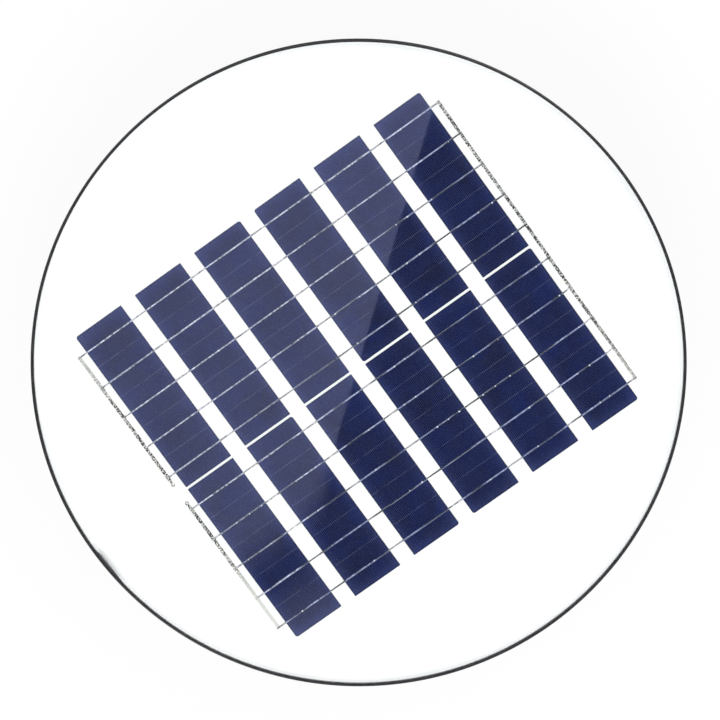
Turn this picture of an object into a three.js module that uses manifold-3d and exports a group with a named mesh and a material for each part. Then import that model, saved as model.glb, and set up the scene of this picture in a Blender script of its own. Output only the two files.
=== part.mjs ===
// Solar attic fan with a round glass solar panel for a lid.
// Millimetres, +Z up. The origin is the centre of the roof flange's underside, on the roof plane.
// +X runs along the cell ribbons, towards the bus ribbon that joins both rows;
// the terminals and the junction box are at the -X end.
import * as THREE from 'three';
import { mergeVertices } from 'three/addons/utils/BufferGeometryUtils.js';
import Module from 'manifold-3d';

const wasm = await Module();
wasm.setup();

// ---------------------------------------------------------------- shared dimensions
const GAP = 0.3;                              // clearance between neighbouring pieces
const CORNERS = [45, 135, 225, 315];          // angles of the mount arms and hood brackets

// hood levels
const DECK_Z = 199.8, LEDGE_Z = 207.8, SHEET_T = 1.2;
const DECK_TOP = DECK_Z + SHEET_T, LEDGE_TOP = LEDGE_Z + SHEET_T;
const LIP_IN_R = 272.4;                       // inner face of the lip round the glass

const THROAT_OUT_R = 161.5;
const BOLT_Z = 110, HOOD_BOLT_R = 146;        // base bolts' height, hood bolts' radius
const SHANK_R = 2.5, CLEAR_R = 2.9;           // bolt shank and its clearance hole
const CABLE_Z = 193.5;                        // height where the cable leaves the junction box

const FAN_Z = 60;
const SHAFT_R = 4, SHAFT_BORE_R = SHAFT_R + GAP;
const PITCH_ROOT = 30, PITCH_TIP = 22;        // blade pitch in degrees

// ---------------------------------------------------------------- materials
const standard = (settings) => new THREE.MeshStandardMaterial(settings);
const MATERIALS = {
  glass: standard({
    color: 0xeaf4f2, roughness: 0.05, metalness: 0, transparent: true, opacity: 0.25,
  }),
  cell: standard({ color: 0x1b2757, roughness: 0.3, metalness: 0.1 }),
  ribbon: standard({ color: 0xb9bcc0, roughness: 0.3, metalness: 1 }),
  backsheet: standard({ color: 0xf7f8fa, roughness: 0.6, metalness: 0 }),
  sealant: standard({ color: 0x101010, roughness: 0.5, metalness: 0 }),
  black: standard({ color: 0x17181a, roughness: 0.45, metalness: 0.3 }),
  zinc: standard({ color: 0xa9adb0, roughness: 0.4, metalness: 1 }),
  steel: standard({ color: 0x9a9da1, roughness: 0.35, metalness: 1 }),
  alu: standard({ color: 0xb4b8bc, roughness: 0.35, metalness: 1 }),
  plastic: standard({ color: 0x151516, roughness: 0.5, metalness: 0 }),
  board: standard({ color: 0x0f5a33, roughness: 0.5, metalness: 0 }),
  magnet: standard({ color: 0x3b3c40, roughness: 0.4, metalness: 0.6 }),
  cable: standard({ color: 0x111111, roughness: 0.6, metalness: 0 }),
};

// ---------------------------------------------------------------- shape helpers
const rad = THREE.MathUtils.degToRad;
const polar = (radius, angle) => [radius * Math.cos(rad(angle)), radius * Math.sin(rad(angle))];
const at = (x, y, z) => new THREE.Matrix4().makeTranslation(x, y, z);
const rotX = (angle) => new THREE.Matrix4().makeRotationX(rad(angle));
const rotY = (angle) => new THREE.Matrix4().makeRotationY(rad(angle));
const rotZ = (angle) => new THREE.Matrix4().makeRotationZ(rad(angle));
const Y_TO_Z = rotX(90);

// A surface mesh as a solid, with an optional placement.
function solid(geometry, matrix) {
  const loose = geometry.index ? geometry.toNonIndexed() : geometry.clone();
  if (matrix) loose.applyMatrix4(matrix);
  const positions = new THREE.BufferGeometry()
    .setAttribute('position', loose.getAttribute('position'));
  const merged = mergeVertices(positions, 1e-4);
  const corners = merged.index.array;
  const triangles = [];
  for (let i = 0; i < corners.length; i += 3) {
    const [a, b, c] = corners.subarray(i, i + 3);
    if (a !== b && b !== c && a !== c) triangles.push([a, b, c]);
  }
  const build = (faces) => new wasm.Manifold(new wasm.Mesh({
    numProp: 3,
    vertProperties: merged.attributes.position.array,
    triVerts: new Uint32Array(faces.flat()),
  }));
  const result = build(triangles);
  // A negative volume means the faces point inwards.
  return result.volume() < 0 ? build(triangles.map(([a, b, c]) => [a, c, b])) : result;
}

// A solid as a surface mesh with flat normals.
function geometryOf(manifold) {
  const mesh = manifold.getMesh(), stride = mesh.numProp;
  const positions = new Float32Array(mesh.numVert * 3);
  for (let i = 0; i < mesh.numVert; i++) {
    positions.set(mesh.vertProperties.subarray(i * stride, i * stride + 3), i * 3);
  }
  const geometry = new THREE.BufferGeometry()
    .setAttribute('position', new THREE.BufferAttribute(positions, 3))
    .setIndex(new THREE.BufferAttribute(new Uint32Array(mesh.triVerts), 1))
    .toNonIndexed();
  geometry.computeVertexNormals();
  return geometry;
}

const placed = (shape, matrix) => solid(geometryOf(shape), matrix);

// A profile of [radius, height] pairs turned about Z.
// It is closed here unless it starts and ends on the axis.
function lathe(profile, segments) {
  const points = profile.map(([radius, height]) => new THREE.Vector2(radius, height));
  const onAxis = profile[0][0] === 0 && profile.at(-1)[0] === 0;
  if (!onAxis) points.push(points[0].clone());
  return solid(new THREE.LatheGeometry(points, segments), Y_TO_Z);
}
const tube = (r0, r1, z0, z1, segments) =>
  lathe([[r0, z0], [r1, z0], [r1, z1], [r0, z1]], segments);
const disc = (radius, z0, z1, segments) =>
  lathe([[0, z0], [radius, z0], [radius, z1], [0, z1]], segments);

// A box between two corners.
function box(x0, y0, z0, x1, y1, z1) {
  return solid(new THREE.BoxGeometry(x1 - x0, y1 - y0, z1 - z0),
    at((x0 + x1) / 2, (y0 + y1) / 2, (z0 + z1) / 2));
}

// Cylinders along X (in the plane y = 0) and along Z.
function rodX(x0, x1, z, radius, segments) {
  return solid(new THREE.CylinderGeometry(radius, radius, x1 - x0, segments),
    at((x0 + x1) / 2, 0, z).multiply(rotZ(90)));
}
function rodZ(x, y, z0, z1, radius, segments) {
  return solid(new THREE.CylinderGeometry(radius, radius, z1 - z0, segments),
    at(x, y, (z0 + z1) / 2).multiply(Y_TO_Z));
}

const fan = new THREE.Group();
fan.name = 'solar_attic_fan';
const panel = new THREE.Group();
const rotor = new THREE.Group();
fan.add(panel);

function add(name, shape, material, parent = fan) {
  const mesh = new THREE.Mesh(shape.isBufferGeometry ? shape : geometryOf(shape), material);
  mesh.name = name;
  parent.add(mesh);
  return mesh;
}

// ---------------------------------------------------------------- solar laminate
const GLASS_R = 271, GLASS_TOP = 215.2, GLASS_T = 3.2, GLASS_CHAMFER = 0.5;
const GLASS_Z = GLASS_TOP - GLASS_T;
const BACK_Z = 209.4, BACK_TOP = BACK_Z + 1;

function frontGlass() {
  const chamferR = GLASS_R - GLASS_CHAMFER;
  return lathe([
    [0, GLASS_Z], [chamferR, GLASS_Z], [GLASS_R, GLASS_Z + GLASS_CHAMFER],
    [GLASS_R, GLASS_TOP - GLASS_CHAMFER], [chamferR, GLASS_TOP], [0, GLASS_TOP],
  ], 48);
}
add('front_glass', frontGlass(), MATERIALS.glass, panel);
add('backsheet', disc(GLASS_R, BACK_Z, BACK_TOP, 48), MATERIALS.backsheet, panel);
add('edge_sealant',
  tube(GLASS_R + GAP, LIP_IN_R - GAP, LEDGE_TOP + GAP, GLASS_TOP - 0.2, 48),
  MATERIALS.sealant, panel);

// Cell strips in two rows; the matrix sits slightly off centre.
const CELL_L = 156.75, CELL_W = 46.6, CELL_T = 0.3, CELL_Z = BACK_TOP + GAP;
const CELL_PITCH = 61.12, CELLS_PER_ROW = 6, ROW_GAP = 2.2;
const GRID_X = -1.7, GRID_Y = -0.5;
const ROWS = [{ row: 'a', side: 1 }, { row: 'b', side: -1 }];   // side is the sign of Y
const rowY = (side, fraction) => GRID_Y + side * (ROW_GAP / 2 + CELL_L * fraction);
const cellX = (index) => GRID_X + (index - (CELLS_PER_ROW - 1) / 2) * CELL_PITCH;

const cellGeometry = new THREE.BoxGeometry(CELL_W, CELL_L, CELL_T);
for (const { row, side } of ROWS) {
  for (let i = 0; i < CELLS_PER_ROW; i++) {
    const cell = add(`cell_${row}${i + 1}`, cellGeometry, MATERIALS.cell, panel);
    cell.position.set(cellX(i), rowY(side, 0.5), CELL_Z + CELL_T / 2);
  }
}

// Ribbons lie midway between the cells and the glass.
const BUSBARS = [0.1, 0.3, 0.5, 0.7, 0.9];    // fractions of the cell length
const RIBBON_W = 1, RIBBON_T = 0.3, RIBBON_Z = (CELL_Z + CELL_T + GLASS_Z - RIBBON_T) / 2;
const BUS_W = 3, BUS_OVERHANG = 0.6;          // overhang past the last ribbon's centre line
const CELLS_LEFT = cellX(0) - CELL_W / 2;
const CELLS_RIGHT = cellX(CELLS_PER_ROW - 1) + CELL_W / 2;
const TERMINAL_X = CELLS_LEFT - 7.7, TERMINAL_Y = 8.6;
const CROSS_X = CELLS_RIGHT + 8;

const busEndY = (side) => rowY(side, BUSBARS.at(-1)) + side * BUS_OVERHANG;
const bus = (x, y0, y1) =>
  box(x - BUS_W / 2, y0, RIBBON_Z, x + BUS_W / 2, y1, RIBBON_Z + RIBBON_T);
// Adds one row's ribbons, from x0 to x1, to a bus.
function addRibbons(shape, side, x0, x1) {
  return BUSBARS.reduce((joined, fraction) => {
    const y = rowY(side, fraction);
    return joined.add(
      box(x0, y - RIBBON_W / 2, RIBBON_Z, x1, y + RIBBON_W / 2, RIBBON_Z + RIBBON_T));
  }, shape);
}

for (const { row, side } of ROWS) {
  const ends = [GRID_Y + side * TERMINAL_Y, busEndY(side)];
  const terminal = bus(TERMINAL_X, Math.min(...ends), Math.max(...ends));
  add(`row_${row}_ribbons`, addRibbons(terminal, side, TERMINAL_X - BUS_W / 2, CELLS_RIGHT - 1),
    MATERIALS.ribbon, panel);
}

let crossBus = bus(CROSS_X, busEndY(-1), busEndY(1));
for (const { side } of ROWS) {
  crossBus = addRibbons(crossBus, side, CELLS_RIGHT + 0.4, CROSS_X);
}
add('cross_bus_ribbon', crossBus, MATERIALS.ribbon, panel);

// ---------------------------------------------------------------- junction box
// It hangs from the laminate through an opening in the hood deck.
const JUNCTION = { x0: -244, x1: -186, halfY: 32, z0: 189, z1: 209, wall: 2 };

// A block on the junction box's plan, inset on all four sides.
function junctionBlock(inset, z0, z1) {
  const { x0, x1, halfY } = JUNCTION;
  return box(x0 + inset, -halfY + inset, z0, x1 - inset, halfY - inset, z1);
}

function junctionBox() {
  const { x1, z0, z1, wall } = JUNCTION;
  return junctionBlock(0, z0, z1)
    .subtract(junctionBlock(wall, z0 - 1, z1 - wall))
    .subtract(rodX(x1 - 3, x1 + 1, CABLE_Z, 3.3, 12));
}

function junctionLid() {
  const { z0, wall } = JUNCTION;
  return junctionBlock(0, z0 - 2.8, z0 - GAP)
    .add(junctionBlock(wall + 0.6, z0 - 1, z0 + 1));
}

function cableGland() {
  // [radius, distance from the box wall]
  const profile = [[3.4, 0], [6.2, 0], [6.2, 2], [4.2, 2.4], [4.2, 7], [3.4, 7]];
  return placed(lathe(profile, 16), at(JUNCTION.x1 + GAP, 0, CABLE_Z).multiply(rotY(90)));
}
add('junction_box', junctionBox(), MATERIALS.plastic, panel);
add('junction_box_lid', junctionLid(), MATERIALS.plastic, panel);
add('cable_gland', cableGland(), MATERIALS.plastic, panel);

// ---------------------------------------------------------------- hood
const RIM_R = 274.2, RIM_TOP = 216, RIM_ROUND = { across: 0.6, down: 0.8 };
const SKIRT_R = 270.6, SKIRT_Z = 172;
const DECK_R = 251, LEDGE_R = 257.5;          // foot and head of the step, on the underside
const STEP_SHIFT = 0.9;                       // how far the step's upper face lies inwards
const BOSS_R = 5, BOSS_TOP = 206.5;

function hood() {
  const { across, down } = RIM_ROUND;
  let shape = lathe([
    // deck underside and step, then down inside the skirt
    [0, DECK_Z], [DECK_R, DECK_Z], [LEDGE_R, LEDGE_Z], [272.6, LEDGE_Z],
    [SKIRT_R - 1.1, SKIRT_Z + 3],
    // turned-in lower edge
    [SKIRT_R - 4.6, SKIRT_Z + 3], [SKIRT_R - 5.4, SKIRT_Z + 1.5], [SKIRT_R - 4.6, SKIRT_Z],
    [SKIRT_R - 1, SKIRT_Z], [SKIRT_R, SKIRT_Z + 1],
    // outer face and rim
    [RIM_R, 212], [RIM_R, RIM_TOP - down], [RIM_R - across, RIM_TOP],
    [LIP_IN_R + across, RIM_TOP], [LIP_IN_R, RIM_TOP - down],
    // ledge, step and deck upper faces
    [LIP_IN_R, LEDGE_TOP], [LEDGE_R - STEP_SHIFT, LEDGE_TOP],
    [DECK_R - STEP_SHIFT, DECK_TOP], [0, DECK_TOP],
  ], 48);
  shape = shape.subtract(junctionBlock(-1, DECK_Z - 2, DECK_TOP + 2));
  for (const angle of CORNERS) {
    const [x, y] = polar(HOOD_BOLT_R, angle);
    shape = shape
      .add(rodZ(x, y, DECK_Z + 0.5, BOSS_TOP, BOSS_R, 12))
      .subtract(rodZ(x, y, DECK_Z - 2, 205, CLEAR_R, 12));
  }
  return shape;
}
add('hood', hood(), MATERIALS.black);

// ---------------------------------------------------------------- base flashing
const FLANGE_R = 250, FLANGE_T = 1.5;
const THROAT_IN_R = 160, THROAT_TOP = 120.5;
const THROAT_LIP_R = 157.6, THROAT_LIP_Z = THROAT_TOP - 2.4;
const NAIL_CIRCLE_R = 235, NAIL_HOLE_R = 3, NAILS = 8;
const baseBoltHole = rodX(150, 175, BOLT_Z, CLEAR_R, 12);   // on +X, turned to each corner

function baseFlashing() {
  let shape = lathe([
    // upper and outer faces, inwards and up
    [FLANGE_R, 0], [FLANGE_R, FLANGE_T], [190, FLANGE_T], [184.4, 4.6], [163.6, 42],
    [THROAT_OUT_R, 49], [THROAT_OUT_R, THROAT_TOP],
    // turned-in lip, then down the inner face
    [THROAT_LIP_R, THROAT_TOP], [THROAT_LIP_R, THROAT_LIP_Z], [THROAT_IN_R, THROAT_LIP_Z],
    [THROAT_IN_R, 48.4], [161.9, 41.4], [182.6, 3.4], [188.6, 0],
  ], 48);
  for (let k = 0; k < NAILS; k++) {
    const [x, y] = polar(NAIL_CIRCLE_R, (360 / NAILS) * (k + 0.5));
    shape = shape.subtract(rodZ(x, y, -1, 3, NAIL_HOLE_R, 12));
  }
  for (const angle of CORNERS) shape = shape.subtract(placed(baseBoltHole, rotZ(angle)));
  return shape;
}
add('base_flashing', baseFlashing(), MATERIALS.black);

// ---------------------------------------------------------------- hood brackets and fasteners
const BRACKET_T = 2.5, BRACKET_W = 25, BEND_R = 4;
const BRACKET_IN_R = THROAT_OUT_R + GAP, BRACKET_OUT_R = BRACKET_IN_R + BRACKET_T;
const BRACKET_END_R = 128;                    // inner end of the horizontal leg
const BRACKET_Z = 86, BRACKET_TOP = DECK_Z - GAP;
const TAB_IN_R = 157, TAB_OUT_R = 159;        // upright tabs on the motor mount's arms
const HEX_R = 4.6;

// An angle strap: up the outside of the throat, then inwards under the deck.
function hoodBracket() {
  const profile = new THREE.Shape();
  profile.moveTo(BRACKET_IN_R, BRACKET_Z);
  profile.lineTo(BRACKET_OUT_R, BRACKET_Z);
  profile.lineTo(BRACKET_OUT_R, BRACKET_TOP - BEND_R);
  profile.absarc(BRACKET_OUT_R - BEND_R, BRACKET_TOP - BEND_R, BEND_R, 0, Math.PI / 2, false);
  profile.lineTo(BRACKET_END_R, BRACKET_TOP);
  profile.lineTo(BRACKET_END_R, BRACKET_TOP - BRACKET_T);
  profile.lineTo(BRACKET_IN_R, BRACKET_TOP - BRACKET_T);
  profile.closePath();
  // The profile lies in XZ and is extruded across the strap's width.
  const strap = new THREE.ExtrudeGeometry(profile,
    { depth: BRACKET_W, bevelEnabled: false, curveSegments: 3 });
  return solid(strap, at(0, BRACKET_W / 2, 0).multiply(Y_TO_Z))
    .subtract(baseBoltHole)
    .subtract(rodZ(HOOD_BOLT_R, 0, 190, 205, CLEAR_R, 12));
}

// Hex flange bolt along +Z: underside of its flange at z = 0, shank up to z = length.
function hexBolt(length) {
  return rodZ(0, 0, -4.2, -0.8, HEX_R, 6)
    .add(disc(5.8, -1.2, 0, 12))
    .add(disc(SHANK_R, -0.5, length, 10));
}
const hexNut = () => rodZ(0, 0, 0, 4, HEX_R, 6).subtract(rodZ(0, 0, -1, 5, CLEAR_R, 10));

const bracketGeometry = geometryOf(hoodBracket());
const baseBoltGeometry = geometryOf(hexBolt(16));
const hoodBoltGeometry = geometryOf(hexBolt(7.6));
const nutGeometry = geometryOf(hexNut());

CORNERS.forEach((angle, k) => {
  const corner = new THREE.Group();
  corner.rotation.z = rad(angle);
  fan.add(corner);
  add(`hood_bracket_${k + 1}`, bracketGeometry, MATERIALS.black, corner);

  const baseBolt = add(`base_bolt_${k + 1}`, baseBoltGeometry, MATERIALS.zinc, corner);
  baseBolt.position.set(BRACKET_OUT_R + GAP, 0, BOLT_Z);
  baseBolt.rotation.y = -Math.PI / 2;         // shank points inwards

  const nut = add(`base_nut_${k + 1}`, nutGeometry, MATERIALS.zinc, corner);
  nut.position.set(TAB_IN_R - GAP, 0, BOLT_Z);
  nut.rotation.y = -Math.PI / 2;

  const hoodBolt = add(`hood_bolt_${k + 1}`, hoodBoltGeometry, MATERIALS.zinc, corner);
  hoodBolt.position.set(HOOD_BOLT_R, 0, BRACKET_TOP - BRACKET_T - GAP);
});

// ---------------------------------------------------------------- bird screen and its rings
const SCREEN = { inR: 172, outR: 173, z0: 102.2, z1: 196.5, windows: 36 };
const RING_T = 1.5, RING_IN_R = SCREEN.outR + GAP, RING_OUT_R = RING_IN_R + RING_T;
const LOWER_RING_Z = 100.2, UPPER_RING_TOP = DECK_Z - GAP;
const cableNotch = box(-182, -7, 184, -165, 7, 198);

function birdScreen() {
  const { inR, outR, z0, z1, windows } = SCREEN;
  const window = box(165, -11, z0 + 8, 180, 11, z1 - 12);
  let shape = tube(inR, outR, z0, z1, 36);
  for (let k = 0; k < windows; k++) {
    shape = shape.subtract(placed(window, rotZ((360 / windows) * (k + 0.5))));
  }
  return shape.subtract(cableNotch);
}

function lowerRing() {
  const legTop = LOWER_RING_Z + RING_T;
  return lathe([
    [165, LOWER_RING_Z], [RING_OUT_R, LOWER_RING_Z], [RING_OUT_R, 110],
    [RING_IN_R, 110], [RING_IN_R, legTop], [165, legTop],
  ], 36);
}

function upperRing() {
  const legZ = UPPER_RING_TOP - RING_T;
  return lathe([
    [RING_IN_R, 186], [RING_OUT_R, 186], [RING_OUT_R, legZ],
    [183, legZ], [183, UPPER_RING_TOP], [RING_IN_R, UPPER_RING_TOP],
  ], 36).subtract(cableNotch);
}
add('bird_screen', birdScreen(), MATERIALS.black);
add('screen_lower_ring', lowerRing(), MATERIALS.black);
add('screen_upper_ring', upperRing(), MATERIALS.black);

// ---------------------------------------------------------------- motor and its mount
const PLATE_Z = 100, PLATE_TOP = PLATE_Z + 2;
const ARM_HALF_W = 11, RIB_T = 2;
const MOTOR_Z = PLATE_TOP + GAP, MOTOR_R = 46, CAP_Z = MOTOR_Z + 44;
const BEARING_R = 11, BEARING_H = 7, SEAT_R = BEARING_R + GAP;
const LOWER_SEAT_Z = MOTOR_Z + 2.5, UPPER_BEARING_Z = 139.3;

// One arm along +X: flat strip, two ribs below its edges and an upright tab at its end.
function mountArm() {
  const ribY = ARM_HALF_W - RIB_T;
  return box(40, -ARM_HALF_W, PLATE_Z, TAB_OUT_R, ARM_HALF_W, PLATE_TOP)
    .add(box(46, -ARM_HALF_W, PLATE_Z - 6, 150, -ribY, PLATE_Z + 1))
    .add(box(46, ribY, PLATE_Z - 6, 150, ARM_HALF_W, PLATE_Z + 1))
    .add(box(TAB_IN_R, -ARM_HALF_W, PLATE_Z, TAB_OUT_R, ARM_HALF_W, 116))
    .subtract(baseBoltHole);
}

function motorMount() {
  const arm = mountArm();
  let shape = disc(50, PLATE_Z, PLATE_TOP, 24);
  for (const angle of CORNERS) shape = shape.add(placed(arm, rotZ(angle)));
  return shape.subtract(rodZ(0, 0, PLATE_Z - 2, PLATE_TOP + 2, 16, 24));
}

// An open cup with a bearing seat in its floor.
function motorHousing() {
  const top = CAP_Z - GAP, floor = MOTOR_Z + 3, seatTop = MOTOR_Z + 10;
  return lathe([
    [7, MOTOR_Z], [MOTOR_R, MOTOR_Z], [MOTOR_R, top], [43.2, top], [43.2, floor],
    [15.2, floor], [15.2, seatTop], [SEAT_R, seatTop], [SEAT_R, LOWER_SEAT_Z], [7, LOWER_SEAT_Z],
  ], 32);
}

function endCap() {
  return lathe([
    [0, 148.9], [7, 148.9], [7, 146.7], [SEAT_R, 146.7], [SEAT_R, 139], [15, 139],
    [15, CAP_Z], [MOTOR_R, CAP_Z], [MOTOR_R, 150], [43, 152], [0, 152],
  ], 32);
}

const bearing = (z) => tube(SHAFT_BORE_R, BEARING_R, z, z + BEARING_H, 20);

// Stator with nine inward teeth.
const TEETH = 9;
// One tooth tip and the slot after it: [radius, degrees from the tooth's centre line].
const TOOTH_OUTLINE = [
  [20.8, -15], [20.8, 0], [20.8, 15], [24, 15], [24.5, 7],
  [37, 4.5], [37, 35.5], [24.5, 33], [24, 25],
];
function statorCore() {
  const outline = new THREE.Shape();
  outline.absarc(0, 0, 42.8, 0, Math.PI * 2, false);
  const points = [];
  for (let k = 0; k < TEETH; k++) {
    for (const [radius, angle] of TOOTH_OUTLINE) {
      points.push(new THREE.Vector2(...polar(radius, (360 / TEETH) * k + angle)));
    }
  }
  outline.holes.push(new THREE.Path().setFromPoints(points));
  return solid(new THREE.ExtrudeGeometry(outline,
    { depth: 20, bevelEnabled: false, curveSegments: 16 }), at(0, 0, 114));
}
add('motor_mount', motorMount(), MATERIALS.black);
add('motor_housing', motorHousing(), MATERIALS.alu);
add('lower_bearing', bearing(LOWER_SEAT_Z + GAP), MATERIALS.steel);
add('stator_core', statorCore(), MATERIALS.steel);
add('driver_board', tube(16, 41.5, 136.5, 138.1, 24), MATERIALS.board);
add('upper_bearing', bearing(UPPER_BEARING_Z), MATERIALS.steel);
add('motor_end_cap', endCap(), MATERIALS.alu);

// ---------------------------------------------------------------- motor cable
const CABLE_R = 2.8;
// [x, z] in the plane y = 0, from the junction box through the screen to the motor's top.
const CABLE_PATH = [
  [-185.3, CABLE_Z], [-165, CABLE_Z], [-140, 189], [-105, 174],
  [-70, 169], [-46, 171], [-34.5, 164], [-34, 152.4],
];
function motorCable() {
  const path = new THREE.CatmullRomCurve3(CABLE_PATH.map(([x, z]) => new THREE.Vector3(x, 0, z)));
  const section = new THREE.Shape();
  section.absarc(0, 0, CABLE_R, 0, Math.PI * 2, false);
  return solid(new THREE.ExtrudeGeometry(section,
    { steps: 30, extrudePath: path, curveSegments: 4, bevelEnabled: false }));
}
add('motor_cable', motorCable(), MATERIALS.cable);

// ---------------------------------------------------------------- rotor
const BLADES = 5, BLADE_T = 1.2, ARM_T = 2;
const BOSS_Z = FAN_Z - 6, WASHER_Z = FAN_Z - 8;
fan.add(rotor);

function motorShaft() {
  return lathe([
    [0, FAN_Z - 16], [SHAFT_R - 0.6, FAN_Z - 16], [SHAFT_R, FAN_Z - 15.2],
    [SHAFT_R, 148], [0, 148],
  ], 16);
}

// Each arm is pitched about its own radial line; on the arm along +X the +Y edge is low.
function fanHub() {
  const arm = solid(new THREE.BoxGeometry(50, 24, ARM_T));
  let hub = disc(32, FAN_Z - 1, FAN_Z + 1, 20).add(disc(10, BOSS_Z, FAN_Z + 9, 16));
  for (let k = 0; k < BLADES; k++) {
    const pose = rotZ((360 / BLADES) * k).multiply(at(47, 0, FAN_Z)).multiply(rotX(-PITCH_ROOT));
    hub = hub.add(placed(arm, pose));
  }
  return hub.subtract(rodZ(0, 0, FAN_Z - 20, FAN_Z + 20, SHAFT_BORE_R, 16));
}

// A sheet blade: flat over its arm, then cambered and twisted towards the tip.
const TIP_R = 152.4, FLAT_END_R = 74, CAMBER = 9;
// [radius, half width]
const BLADE_STATIONS = [
  [36, 25], [56, 30], [FLAT_END_R, 35], [98, 44], [124, 49], [142, 47], [TIP_R, 34],
];
const BLADE_ACROSS = [-1, -0.5, 0, 0.5, 1];   // fractions of the half width
const BLADE_LIFT = ARM_T / 2 + 0.35;          // clears the arm's upper face

// side is 0 for the lower face and 1 for the upper face.
function bladePoint([radius, halfWidth], fraction, side) {
  const along = Math.max(0, (radius - FLAT_END_R) / (TIP_R - FLAT_END_R));
  const pitch = rad(PITCH_ROOT + (PITCH_TIP - PITCH_ROOT) * along);
  const camber = CAMBER * Math.min(1, along * 1.6);
  const chord = fraction * halfWidth;
  const normal = BLADE_LIFT + side * BLADE_T + camber * (fraction ** 2 - 0.3);
  const y = chord * Math.cos(pitch) + normal * Math.sin(pitch);
  const z = -chord * Math.sin(pitch) + normal * Math.cos(pitch);
  return [Math.sqrt(radius * radius - y * y), y, FAN_Z + z];
}

function fanBlade() {
  const rows = BLADE_STATIONS.length, columns = BLADE_ACROSS.length;
  const lastRow = rows - 1, lastColumn = columns - 1;
  const vertices = [], faces = [];
  for (const side of [0, 1]) {
    for (const station of BLADE_STATIONS) {
      for (const fraction of BLADE_ACROSS) vertices.push(...bladePoint(station, fraction, side));
    }
  }
  const low = (i, j) => i * columns + j;
  const high = (i, j) => rows * columns + low(i, j);
  const quad = (a, b, c, d) => faces.push(a, b, c, a, c, d);
  for (let i = 0; i < lastRow; i++) {
    for (let j = 0; j < lastColumn; j++) {
      quad(high(i, j), high(i + 1, j), high(i + 1, j + 1), high(i, j + 1));
      quad(low(i, j), low(i, j + 1), low(i + 1, j + 1), low(i + 1, j));
    }
    // long edges
    const j = lastColumn;
    quad(low(i, 0), low(i + 1, 0), high(i + 1, 0), high(i, 0));
    quad(low(i, j), high(i, j), high(i + 1, j), low(i + 1, j));
  }
  // root and tip edges
  for (let j = 0; j < lastColumn; j++) {
    const i = lastRow;
    quad(low(0, j), high(0, j), high(0, j + 1), low(0, j + 1));
    quad(low(i, j), low(i, j + 1), high(i, j + 1), high(i, j));
  }
  return solid(new THREE.BufferGeometry()
    .setAttribute('position', new THREE.BufferAttribute(new Float32Array(vertices), 3))
    .setIndex(faces));
}

function hubNut() {
  return rodZ(0, 0, FAN_Z - 14.5, WASHER_Z - GAP, 7.5, 6)
    .subtract(rodZ(0, 0, FAN_Z - 16, FAN_Z - 6, SHAFT_BORE_R, 12));
}
add('motor_shaft', motorShaft(), MATERIALS.steel, rotor);
add('rotor_magnet', tube(SHAFT_BORE_R, 19.6, 113.2, 135, 24), MATERIALS.magnet, rotor);
add('fan_hub', fanHub(), MATERIALS.steel, rotor);
const bladeGeometry = geometryOf(fanBlade());
for (let k = 0; k < BLADES; k++) {
  const blade = add(`fan_blade_${k + 1}`, bladeGeometry, MATERIALS.alu, rotor);
  blade.rotation.z = rad((360 / BLADES) * k);
}
add('hub_washer', tube(SHAFT_BORE_R, 9, WASHER_Z, BOSS_Z - GAP, 16), MATERIALS.zinc, rotor);
add('hub_nut', hubNut(), MATERIALS.zinc, rotor);

export default fan;
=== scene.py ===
import math
import random
import bpy
import bmesh
import numpy as np
from mathutils import Matrix, Vector

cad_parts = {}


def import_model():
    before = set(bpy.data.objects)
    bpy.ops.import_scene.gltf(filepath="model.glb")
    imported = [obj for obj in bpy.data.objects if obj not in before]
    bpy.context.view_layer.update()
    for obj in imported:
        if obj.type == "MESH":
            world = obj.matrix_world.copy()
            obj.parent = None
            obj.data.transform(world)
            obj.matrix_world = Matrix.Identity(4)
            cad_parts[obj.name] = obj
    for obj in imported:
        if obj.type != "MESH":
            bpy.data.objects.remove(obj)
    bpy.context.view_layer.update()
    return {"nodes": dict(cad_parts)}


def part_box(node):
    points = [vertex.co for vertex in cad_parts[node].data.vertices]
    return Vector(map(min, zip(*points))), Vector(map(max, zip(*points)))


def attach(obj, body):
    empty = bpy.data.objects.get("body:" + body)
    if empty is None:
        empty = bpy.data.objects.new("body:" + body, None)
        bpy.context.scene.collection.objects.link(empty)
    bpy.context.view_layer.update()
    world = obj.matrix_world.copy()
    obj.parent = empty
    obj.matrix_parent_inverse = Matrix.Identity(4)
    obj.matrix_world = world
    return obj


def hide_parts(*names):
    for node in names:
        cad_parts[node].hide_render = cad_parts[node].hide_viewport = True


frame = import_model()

MM = 0.001
scene = bpy.context.scene
rng = random.Random(20240)


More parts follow.
